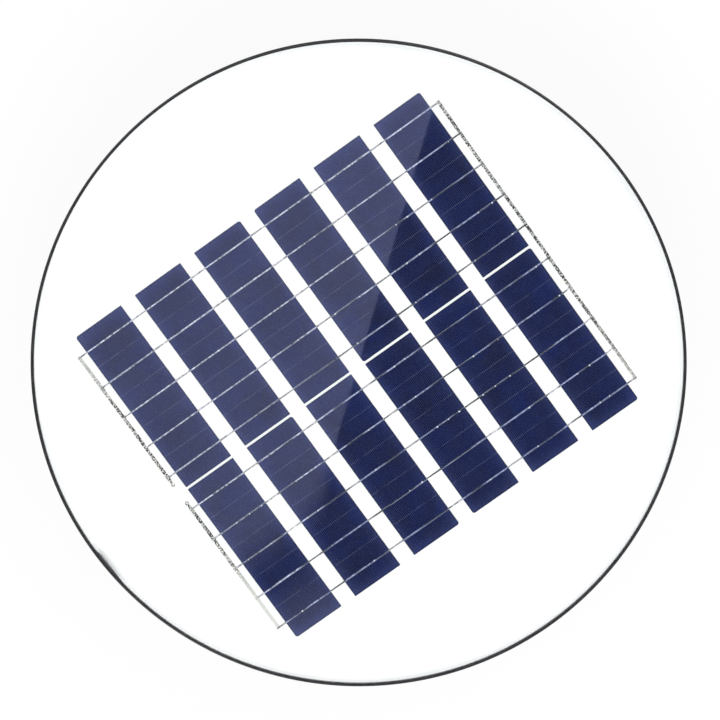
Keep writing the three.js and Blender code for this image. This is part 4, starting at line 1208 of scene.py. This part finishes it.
# strain relief where it enters the motor
s.lathe(rounded([(2.6, 151.9), (6.2, 151.9), (5.6, 154.2), (3.9, 160.5), (3.2, 161.2), (2.6, 161.2)], {1: 0.5, 2: 0.6, 3: 0.5, 4: 0.3}, 3), 28, 0, move(-34, 0, 0))
for q in range(4):
    s.lathe([(3.6 - q * 0.12, 155.0 + q * 1.5), (5.1 - q * 0.4, 155.0 + q * 1.5), (5.1 - q * 0.4, 155.7 + q * 1.5), (3.6 - q * 0.12, 155.7 + q * 1.5)], 28, 0, move(-34, 0, 0))
obj("motor_cable_run", s.mesh("motor_cable_run", [RUBBER], 40), "frame", ["motor_cable"])

# ------------------------------------------------------------------ motor
MZ, MR = 102.3, 46.0
s = Shape()
s.lathe(rounded([(7, MZ), (MR - 1, MZ), (MR - 1, MZ + 43.7), (43.2, MZ + 43.7), (43.2, MZ + 3), (15.2, MZ + 3), (15.2, MZ + 10), (11.3, MZ + 10), (11.3, MZ + 2.5), (7, MZ + 2.5)],
                {0: 0.3, 1: 2.5, 2: 0.5, 3: 0.4, 4: 1.0, 5: 0.8, 6: 0.4, 7: 0.4, 8: 0.2, 9: 0.2}, 4), 128)
for k in range(36):                                      # cooling ribs round the can
    s.rbox(MR - 1.4, -0.8, MZ + 5, MR + 0.6, 0.8, MZ + 38, 0.45, 2, 0, rotz(10 * k))
for k in range(4):                                       # lugs for the through screws
    s.prism(rounded([(MR - 3, -5.5), (MR + 1.6, -4.2), (MR + 1.6, 4.2), (MR - 3, 5.5)], 1.5, 3), MZ + 38.5, MZ + 43.7, 0.4, 2, 0, rotz(45 + 90 * k))
obj("motor_can", s.mesh("motor_can", [CAST], 30), "frame", ["motor_housing"])

s = Shape()
s.lathe(rounded([(0, 148.9), (7, 148.9), (7, 146.7), (11.3, 146.7), (11.3, 139), (15, 139), (15, MZ + 44), (MR, MZ + 44), (MR, 149.6), (43.2, 151.4), (30, 151.4), (28.6, 152.4), (16, 152.4), (14, 151.4), (0, 151.4)],
                {"all": 0.6, 0: 0, 14: 0, 8: 2.2, 9: 2.0, 10: 1.0, 11: 0.8}, 4, closed=False), 128)
for k in range(4):
    s.prism(rounded([(MR - 3, -5.5), (MR + 1.6, -4.2), (MR + 1.6, 4.2), (MR - 3, 5.5)], 1.5, 3), MZ + 44.0, 149.4, 0.5, 2, 0, rotz(45 + 90 * k))
    T = rotz(45 + 90 * k) @ move(43.2, 0, 0)
    # socket cap screw, its socket a real hexagonal well
    ring = Shape()
    ring.lathe(rounded([(1.5, 149.2), (3.3, 149.2), (3.3, 152.3), (3.0, 152.6), (1.7, 152.6), (1.5, 152.3)], 0.15, 2), 32)
    s.put(ring.v, ring.f, 1, T)
    s.lathe(rounded([(0, 149.2), (1.6, 149.2), (1.6, 150.6), (0, 150.6)], {1: 0.1, 2: 0.1}, 2, closed=False), 6, 1, T)
for k in range(8):                                       # spokes cast on the cap
    if k == 4:
        continue
    s.rbox(17, -1.1, 151.0, 41, 1.1, 152.2, 0.5, 2, 0, rotz(45 * k))
obj("motor_cap", s.mesh("motor_cap", [CAST, ZINC], 30), "frame", ["motor_end_cap"])

# mount: plate with four channel arms turned down and up at their ends
s = Shape()
PZ = 100.0
pl = []
for k in range(4):
    a0 = 45 + 90 * k
    for da, r in ((-26, 50), (-20, 52), (-13.8, 57)):
        pl.append((r * math.cos(math.radians(a0 + da)), r * math.sin(math.radians(a0 + da))))
    c0, s0 = math.cos(math.radians(a0)), math.sin(math.radians(a0))
    pl += [(158.2 * c0 + 11 * s0, 158.2 * s0 - 11 * c0), (158.2 * c0 - 11 * s0, 158.2 * s0 + 11 * c0)]
    for da, r in ((13.8, 57), (20, 52), (26, 50)):
        pl.append((r * math.cos(math.radians(a0 + da)), r * math.sin(math.radians(a0 + da))))
s.prism(pl, PZ, PZ + 2, 0.35, 2)
c = Shape()
c.lathe([(0, PZ - 3), (16, PZ - 3), (16, PZ + 5), (0, PZ + 5)], 64)
for k in range(4):
    c.prism(rounded([(-10, -3), (10, -3), (10, 3), (-10, 3)], 2.9, 6), PZ - 3, PZ + 5, 0, 1, 0, rotz(45 + 90 * k) @ move(104, 0, 0))
plate = cut(s.mesh("mount_plate", [COAT], 30), c, 30)
s, tabs = Shape(), Shape()
for k in range(4):
    R = rotz(45 + 90 * k)
    for q in (-1, 1):
        y0, y1 = (-11, -9.2) if q < 0 else (9.2, 11)
        s.prism(rounded([(58, PZ + 0.6), (58, PZ - 1.5), (68, PZ - 6), (138, PZ - 6), (150, PZ - 1.5), (150, PZ + 0.6)], {0: 0, 1: 1, 2: 6, 3: 6, 4: 1, 5: 0}, 4), y0, y1, 0.3, 2, 0,
                R @ Matrix(((1, 0, 0, 0), (0, 0, 1, 0), (0, 1, 0, 0), (0, 0, 0, 1))))
    tabs.prism(rounded([(-11, PZ + 0.3), (11, PZ + 0.3), (11, 116), (-11, 116)], {2: 4, 3: 4}, 6), 157.0, 159.0, 0.35, 2, 0,
               R @ Matrix(((0, 0, 1, 0), (1, 0, 0, 0), (0, 1, 0, 0), (0, 0, 0, 1))))
c = Shape()
for k in range(4):
    c.lathe([(0, -6), (2.9, -6), (2.9, 6), (0, 6)], 24, 0, rotz(45 + 90 * k) @ move(158, 0, 110) @ Matrix.Rotation(math.pi / 2, 4, "Y"))
tabs = cut(tabs.mesh("mount_tabs", [COAT], 30), c, 30)
mount = s.mesh("motor_spider", [COAT], 30)
bm = bmesh.new()
for me in (mount, plate, tabs):
    bm.from_mesh(me)
bm.to_mesh(mount)
bm.free()
bpy.data.meshes.remove(plate)
bpy.data.meshes.remove(tabs)
shade(mount, 30)
obj("motor_spider", mount, "frame", ["motor_mount"])

# four screws that hold the motor to its mount, seen from below
s = Shape()
for k in range(4):
    T = rotz(90 * k) @ move(26, 0, 0)
    sub = Shape()
    hex_head(sub, PZ - 0.9, PZ - 4.0, 7.0)
    s.put(sub.v, sub.f, 0, T)
    s.lathe(rounded([(0, PZ - 0.05), (5.6, PZ - 0.05), (5.6, PZ - 1.0), (0, PZ - 1.0)], {1: 0.2, 2: 0.3}, 2, closed=False), 32, 0, T)
obj("mount_screws", s.mesh("mount_screws", [ZINC], 30), "frame")

# ------------------------------------------------------------------ inside the motor
def bearing(name, z0, z1, node):
    s = Shape()
    s.lathe(rounded([(9.1, z0), (11, z0), (11, z1), (9.1, z1)], {1: 0.5, 2: 0.5}, 3), 64, 0)
    s.lathe(rounded([(4.2, z0), (6.0, z0), (6.0, z1), (4.2, z1)], {0: 0.4, 3: 0.4}, 3), 64, 0)
    for k in range(8):
        a = 2 * math.pi * k / 8
        bm = bmesh.new()
        bmesh.ops.create_uvsphere(bm, u_segments=16, v_segments=10, radius=1.62)
        s.take(bm, 0, move(7.55 * math.cos(a), 7.55 * math.sin(a), (z0 + z1) / 2))
    for z in (z0 + 0.5, z1 - 0.8):
        s.lathe(rounded([(6.2, z), (8.95, z), (8.95, z + 0.3), (6.2, z + 0.3)], 0.1, 2), 64, 1)
    obj(name, s.mesh(name, [STEEL, PLASTIC], 30), "frame", [node])


bearing("ball_bearing_lower", MZ + 2.8, MZ + 9.8, "lower_bearing")
bearing("ball_bearing_upper", 139.3, 146.3, "upper_bearing")

s = Shape()
for k in range(9):
    T = rotz(40 * k)
    path = []
    for q in range(24):                                  # an oval coil round each tooth
        a = 2 * math.pi * q / 24
        ca, sa = math.cos(a), math.sin(a)
        path.append((30.5, (abs(ca) ** 0.5) * math.copysign(5.6, ca), 124 + (abs(sa) ** 0.5) * math.copysign(11.6, sa)))
    for dr in (-3.2, 0.0, 3.2):
        s.tube([(x + dr, y, z) for x, y, z in path], 1.45, 10, 0, T, closed=True)
obj("stator_windings", s.mesh("stator_windings", [COPPER], 50), "frame")

s = Shape()
for k, (a, r, w, d, hh, mt) in enumerate(((20, 32, 6, 6, 1.4, 0), (75, 33, 5, 4, 1.2, 0), (120, 31, 7, 5, 1.5, 0), (230, 33, 4, 4, 1.2, 0), (290, 30, 8, 6, 1.4, 0), (340, 34, 3, 2, 1.0, 1), (50, 26, 3, 2, 0.9, 1), (95, 25, 3, 2, 0.9, 1), (260, 24, 3, 2, 0.9, 1), (315, 25, 2.4, 1.6, 0.9, 1))):
    s.rbox(-w / 2, -d / 2, 138.05, w / 2, d / 2, 138.1 + hh, 0.25, 2, mt, rotz(a) @ move(r, 0, 0))
for a in (150, 205):
    s.lathe(rounded([(0, 138.1), (3.2, 138.1), (3.2, 144.6), (0, 144.6)], {1: 0.2, 2: 0.5}, 3, closed=False), 32, 2, rotz(a) @ move(33, 0, 0))
obj("driver_components", s.mesh("driver_components", [CHIP, CREAM, ZINC], 30), "frame")

for node, mat_, bev in (("stator_core", LAM, 0.0), ("driver_board", BOARD, 0.15), ("rotor_magnet", FERRITE, 0.3)):
    o = frame["nodes"][node]
    o.data.materials.clear()
    o.data.materials.append(mat_)
    if bev:
        bv = o.modifiers.new("edge", "BEVEL")
        bv.width, bv.segments, bv.limit_method, bv.angle_limit = bev * MM, 2, "ANGLE", math.radians(40)

# ------------------------------------------------------------------ rotor
FZ = 60.0
s = Shape()
s.lathe(rounded([(0, FZ - 16), (4.0, FZ - 16), (4.0, 148), (0, 148)], {1: 0.7, 2: 0.6}, 3, closed=False), 40)
threaded(s, FZ - 15.4, FZ - 6.4, 4.05, 1.0, 40, 0, 0)
obj("rotor_shaft", s.mesh("rotor_shaft", [STEEL], 30), "rotor", ["motor_shaft"])

P_ROOT, P_TIP, T_BL = 30.0, 22.0, 1.2
s = Shape()
s.lathe(rounded([(4.25, FZ - 6), (9, FZ - 6), (10, FZ - 5), (10, FZ - 1), (32, FZ - 1), (32, FZ + 1), (10, FZ + 1), (10, FZ + 8), (9, FZ + 9), (4.25, FZ + 9)], {"all": 0.6, 3: 1.2, 6: 1.2, 0: 0.3, 9: 0.3}, 3), 96)
for k in range(5):
    T = rotz(72 * k) @ move(0, 0, FZ) @ Matrix.Rotation(-math.radians(P_ROOT), 4, "X")
    s.prism(rounded([(24, -11), (64, -12), (72, -6.5), (72, 6.5), (64, 12), (24, 11)], {"all": 4, 0: 2, 5: 2}, 5), -1, 1, 0.35, 2, 0, T)
    s.prism(rounded([(30, -2.2), (66, -2.2), (66, 2.2), (30, 2.2)], 2.1, 5), -2.0, -0.6, 0.6, 3, 0, T)
# set screw in the collar
s.lathe(rounded([(0, 9.2), (2.0, 9.2), (2.0, 10.9), (1.0, 11.0), (0, 10.6)], {2: 0.2}, 2, closed=False), 24, 1, move(0, 0, FZ + 5) @ rotz(36) @ Matrix.Rotation(math.pi / 2, 4, "Y"))
obj("fan_spider", s.mesh("fan_spider", [HUBSTEEL, STEEL], 30), "rotor", ["fan_hub"])


def half_width(r):
    if r > 142:
        t = (r - 142) / (152.4 - 142)
        return 30 + 17 * math.sqrt(max(0.0, 1 - t * t))
    xs = [36, 46, 56, 65, 74, 86, 98, 111, 124, 133, 142]
    hs = [25, 27.3, 30, 32.3, 35, 39.5, 43.8, 47.0, 48.8, 48.6, 47]
    return float(np.interp(r, xs, hs))


def blade_point(rho, sfrac, off):
    hh = half_width(rho)
    s_ = sfrac * hh
    u = max(0.0, (rho - 70) / (152.4 - 70))
    ease = u * u * (3 - 2 * u) if u < 1 else 1
    p = math.radians(P_ROOT + (P_TIP - P_ROOT) * u)
    cam = 9.0 * min(1.0, ease * 1.7)
    n_ = off + cam * (sfrac * sfrac - 0.3 * min(1.0, u * 3))
    rib = 0.0
    if 44 < rho < 126:                                   # pressed stiffening bead up the middle
        w = min(1.0, (rho - 44) / 6, (126 - rho) / 10)
        rib = 1.5 * w * max(0.0, 1 - (s_ / 4.2) ** 2) ** 1.5 if abs(s_) < 4.2 else 0.0
    n_ += rib
    y = s_ * math.cos(p) + n_ * math.sin(p)
    z = -s_ * math.sin(p) + n_ * math.cos(p)
    return (math.sqrt(max(1.0, rho * rho - y * y)), y, FZ + z)


def blade_mesh():
    radii = list(np.linspace(36, 142, 46)) + [142 + 10.4 * math.sin(math.pi / 2 * q / 8) for q in range(1, 9)]
    core = [-1, -0.97, -0.93, -0.85, -0.75, -0.65, -0.55, -0.45, -0.35, -0.26, -0.18, -0.12, -0.08, -0.04, 0]
    acr = core + [-a for a in core[:-1]][::-1]
    verts, faces = [], []
    ni, nj = len(radii), len(acr)
    base = 1.02
    for side in (0, 1):
        for r in radii:
            for a in acr:
                verts.append(blade_point(r, a, base + (T_BL if side else 0)))
    idx = lambda i, j, sd: sd * ni * nj + i * nj + j
    for i in range(ni - 1):
        for j in range(nj - 1):
            faces.append((idx(i, j, 1), idx(i + 1, j, 1), idx(i + 1, j + 1, 1), idx(i, j + 1, 1)))
            faces.append((idx(i, j, 0), idx(i, j + 1, 0), idx(i + 1, j + 1, 0), idx(i + 1, j, 0)))
    border = [(i, 0) for i in range(ni)] + [(ni - 1, j) for j in range(1, nj)] + [(i, nj - 1) for i in range(ni - 2, -1, -1)] + [(0, j) for j in range(nj - 2, 0, -1)]
    for q in range(len(border)):
        a, b = border[q], border[(q + 1) % len(border)]
        faces.append((idx(*a, 0), idx(*b, 0), idx(*b, 1), idx(*a, 1)))
    s = Shape()
    s.put(verts, faces, 0)
    # four rivets through blade and arm
    for rr_, off in ((44, 0.0), (54, 6.5), (54, -6.5), (64, 0.0)):
        T = move(0, 0, FZ) @ Matrix.Rotation(-math.radians(P_ROOT), 4, "X") @ move(rr_, off, 0)
        top = 1.02 + T_BL + (1.5 if abs(off) < 1 else 0.0)
        s.lathe(rounded([(0, top - 0.4), (3.0, top - 0.4), (2.7, top + 0.7), (1.4, top + 1.35), (0, top + 1.5)], {1: 0, 2: 0.6, 3: 0.8}, 4, closed=False), 28, 1, T)
        s.lathe(rounded([(0, -0.9), (2.6, -0.9), (2.4, -1.7), (0, -2.3)], {2: 0.5}, 3, closed=False), 24, 1, T)
    return s.mesh("fan_blade_pressing", [ALU, STEEL], 30)


blade = blade_mesh()
for k in range(5):
    obj(f"fan_blade_pressing_{k + 1}", blade, "rotor", [f"fan_blade_{k + 1}"], place_mm(rotz(72 * k)))

s = Shape()
s.lathe(rounded([(4.3, FZ - 8), (9, FZ - 8), (9, FZ - 6.3), (4.3, FZ - 6.3)], 0.3, 3), 64)
obj("rotor_washer", s.mesh("rotor_washer", [ZINC], 30), "rotor", ["hub_washer"])
s = Shape()
hex_head(s, FZ - 8.2, FZ - 14.4, 13.0, bore=4.15)
s.lathe(rounded([(4.4, FZ - 14.2), (5.9, FZ - 14.2), (5.6, FZ - 15.6), (4.4, FZ - 15.6)], {2: 0.4, 3: 0.2}, 3), 48, 1)
obj("rotor_locknut", s.mesh("rotor_locknut", [ZINC, CREAM], 30), "rotor", ["hub_nut"])

# ------------------------------------------------------------------ floor
# Pale studio sweep. It is open under the throat and lets light up from below, it runs out to white in the distance,
# and what is reflected from it shows soft white cards standing round the object.
fm = Mat("pale_floor")
geo = fm.node("ShaderNodeNewGeometry")
inc = fm.node("ShaderNodeSeparateXYZ")
fm.t.links.new(geo.outputs["Incoming"], inc.inputs[0])
flp = fm.node("ShaderNodeLightPath")
seen, mirrored = E(fm.t, flp.outputs["Is Camera Ray"]), E(fm.t, flp.outputs["Is Glossy Ray"])
steep = E(fm.t, inc.outputs[2]).ramp(0.72, 0.93)
pale = fm.mix(fm.noise(900, 2).ramp(0.3, 0.7), (0.665, 0.665, 0.67), (0.65, 0.65, 0.655))
fm.set("Base Color", fm.mix(steep, pale, (0.88, 0.88, 0.88))).set("Roughness", 0.9).set("Specular IOR Level", 0.0)
fr_ = (fm.x * fm.x + fm.y * fm.y).pow(0.5)
cards = None
for deg_, inner, outer, power in ((22, 8, 21, 4.6), (112, 9, 24, 1.6), (205, 8, 21, 4.0), (292, 9, 24, 1.7)):
    ca_, sa_ = math.cos(math.radians(deg_)), math.sin(math.radians(deg_))
    one = ((fm.x * ca_ + fm.y * sa_) / fr_).ramp(math.cos(math.radians(outer)), math.cos(math.radians(inner))) * power
    cards = one if cards is None else cards.max(one)
table = fm.node("ShaderNodeEmission")
table.inputs["Color"].default_value = (1.0, 1.0, 1.0, 1.0)
fm.t.links.new((seen * 1.0 + mirrored * (cards * fr_.ramp(380.0, 640.0) + 0.15)).s, table.inputs["Strength"])
top = fm.node("ShaderNodeMixShader")
far = fr_.ramp(650.0, 3400.0)
fm.t.links.new((seen * (steep * 0.88).max(far) + mirrored * 0.85).s, top.inputs[0])
fm.t.links.new(fm.b.outputs[0], top.inputs[1])
fm.t.links.new(table.outputs[0], top.inputs[2])
clear = fm.node("ShaderNodeBsdfTransparent")
mixs = fm.node("ShaderNodeMixShader")
fm.t.links.new(geo.outputs["Backfacing"], mixs.inputs[0])
fm.t.links.new(top.outputs[0], mixs.inputs[1])
fm.t.links.new(clear.outputs[0], mixs.inputs[2])
fm.t.links.new(mixs.outputs[0], fm.out.inputs[0])
me = bpy.data.meshes.new("floor")
ring_at = lambda r, n=96, x=0.0, y=0.0: [(x + r * math.cos(2 * math.pi * k / n), y + r * math.sin(2 * math.pi * k / n), -0.0004) for k in range(n)]
fv = ring_at(0.243) + ring_at(12.0)
ff = [(k, k + 96, (k + 1) % 96 + 96, (k + 1) % 96) for k in range(96)]
for k in range(8):                                           # the floor showing through each nail hole
    a_ = math.radians(45 * (k + 0.5))
    ff.append(tuple(range(len(fv), len(fv) + 16)))
    fv += ring_at(0.0045, 16, 0.235 * math.cos(a_), 0.235 * math.sin(a_))
me.from_pydata(fv, [], ff)
me.materials.append(fm.m)
floor = bpy.data.objects.new("floor", me)
scene.collection.objects.link(floor)

# ------------------------------------------------------------------ light
LEVEL = 1.27
w = bpy.data.worlds.new("studio")
scene.world = w
w.use_nodes = True
w.cycles.sampling_method = "NONE"
t = w.node_tree
for n_ in list(t.nodes):
    t.nodes.remove(n_)
out = t.nodes.new("ShaderNodeOutputWorld")
bg = t.nodes.new("ShaderNodeBackground")
t.links.new(bg.outputs[0], out.inputs[0])
tc = t.nodes.new("ShaderNodeTexCoord")
sp = t.nodes.new("ShaderNodeSeparateXYZ")
t.links.new(tc.outputs["Generated"], sp.inputs[0])
X, Y, Z = (E(t, sp.outputs[i]) for i in range(3))
up = Z.max(0.02)
# where a ray mirrored in the panel's plane would have left it, in millimetres
px = X / up * 2970.0 + 289.0
py = Y / up * 2970.0 + 388.0
e = (px - 29.0) * -0.6207 + (py - 23.3) * 0.784
soft = (px * -1.0 - 56.0).max(0.0) * 0.30 + 1.0
main = e.ramp(soft * -1.0, soft)
low = (py + 84.0).ramp(-26.0, 26.0)
west = (px * -1.0 - 70.0).ramp(0.0, 60.0)
glare = main * (low * west + (west * -1.0 + 1.0))
corner = (py * -1.0 - 104.0).ramp(0.0, 60.0) * (px * -1.0 - 108.0).ramp(0.0, 44.0)
glare = glare.max(corner * 0.95)
tilt = (X * X + Y * Y).pow(0.5) / up
patch = tilt.ramp(0.34, 0.60).max(Z.lt(0.0))                             # dark round the zenith, bright beyond


def box_light(dx, dy, dz, inner, outer):
    v = Vector((dx, dy, dz)).normalized()
    return (X * v.x + Y * v.y + Z * v.z).ramp(math.cos(math.radians(outer)), math.cos(math.radians(inner)))


boxes = box_light(-0.7, -0.6, 0.55, 20, 34).max(box_light(0.9, 0.2, 0.5, 18, 30) * 0.8).max(box_light(-0.1, 0.9, 0.35, 14, 28) * 0.7)
gloss = (boxes * 2.0 + Z.ramp(-0.1, 0.8) * 0.50 + Z.ramp(-0.05, -0.7) * 0.75 + 0.24) * (patch * 0.96 + 0.04) + glare * (patch * -1.0 + 1.0) * (px.ramp(-120.0, 120.0) * 0.18 + 1.14)
diffuse = (Z.ramp(-0.3, 1.0) * 0.35 + 0.75) * LEVEL * 0.80
lp = t.nodes.new("ShaderNodeLightPath")
is_cam, is_gloss = E(t, lp.outputs["Is Camera Ray"]), E(t, lp.outputs["Is Glossy Ray"])
strength = is_cam * 1.02 + (is_cam * -1.0 + 1.0) * (is_gloss * gloss + (is_gloss * -1.0 + 1.0) * diffuse)
t.links.new(strength.s, bg.inputs["Strength"])
mixw = t.nodes.new("ShaderNodeMix")
mixw.data_type = "RGBA"
t.links.new((is_gloss * (patch * -1.0 + 1.0)).s, mixw.inputs["Factor"])
cols = [i for i in mixw.inputs if i.type == "RGBA"]
cols[0].default_value = (1.0, 1.0, 1.0, 1.0)
cols[1].default_value = (1.0, 1.03, 1.61, 1.0)
t.links.new([o for o in mixw.outputs if o.type == "RGBA"][0], bg.inputs["Color"])


def area(name, loc, target, size, power, tone=(1, 1, 1)):
    d = bpy.data.lights.new(name, "AREA")
    d.shape, d.size, d.energy, d.color = "DISK", size, power, tone
    o = bpy.data.objects.new(name, d)
    scene.collection.objects.link(o)
    o.location = loc
    o.rotation_mode = "QUATERNION"
    o.rotation_quaternion = (Vector(target) - Vector(loc)).to_track_quat("-Z", "Y")
    o.visible_glossy = False
    o.visible_camera = False
    return o


area("key", (-1.0, -0.95, 2.8), (0, 0, 0.1), 2.2, 24)
area("fill", (2.4, 0.5, 1.6), (0, 0, 0.1), 1.6, 14)

# ------------------------------------------------------------------ camera
F, RX, RY, RZ, TX, TY, D = 3600.0, 0.16159, 0.00308, -0.62154, -1.43257, 5.24488, 3009.142
CELL_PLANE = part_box("cell_a1")[1].z * 1000
Rm = (Matrix.Rotation(RX, 3, "X") @ Matrix.Rotation(RY, 3, "Y") @ Matrix.Rotation(RZ, 3, "Z")) @ Matrix(((1, 0, 0), (0, -1, 0), (0, 0, -1)))
tv = Vector((TX, TY, D))
loc = -(Rm.transposed() @ tv) + Vector((-0.08, 0.34, CELL_PLANE))
cam = bpy.data.objects.new("camera", bpy.data.cameras.new("camera"))
scene.collection.objects.link(cam)
right, down, fwd = Rm[0], Rm[1], Rm[2]
cam.matrix_world = Matrix((
    (right.x, -down.x, -fwd.x, loc.x * MM),
    (right.y, -down.y, -fwd.y, loc.y * MM),
    (right.z, -down.z, -fwd.z, loc.z * MM),
    (0, 0, 0, 1)))
cam.data.sensor_width = 36.0
cam.data.lens = F / 720.0 * 36.0
cam.data.clip_start, cam.data.clip_end = 0.1, 100.0
scene.camera = cam
scene.view_settings.view_transform = "Standard"
scene.view_settings.look = "None"

bpy.context.view_layer.update()
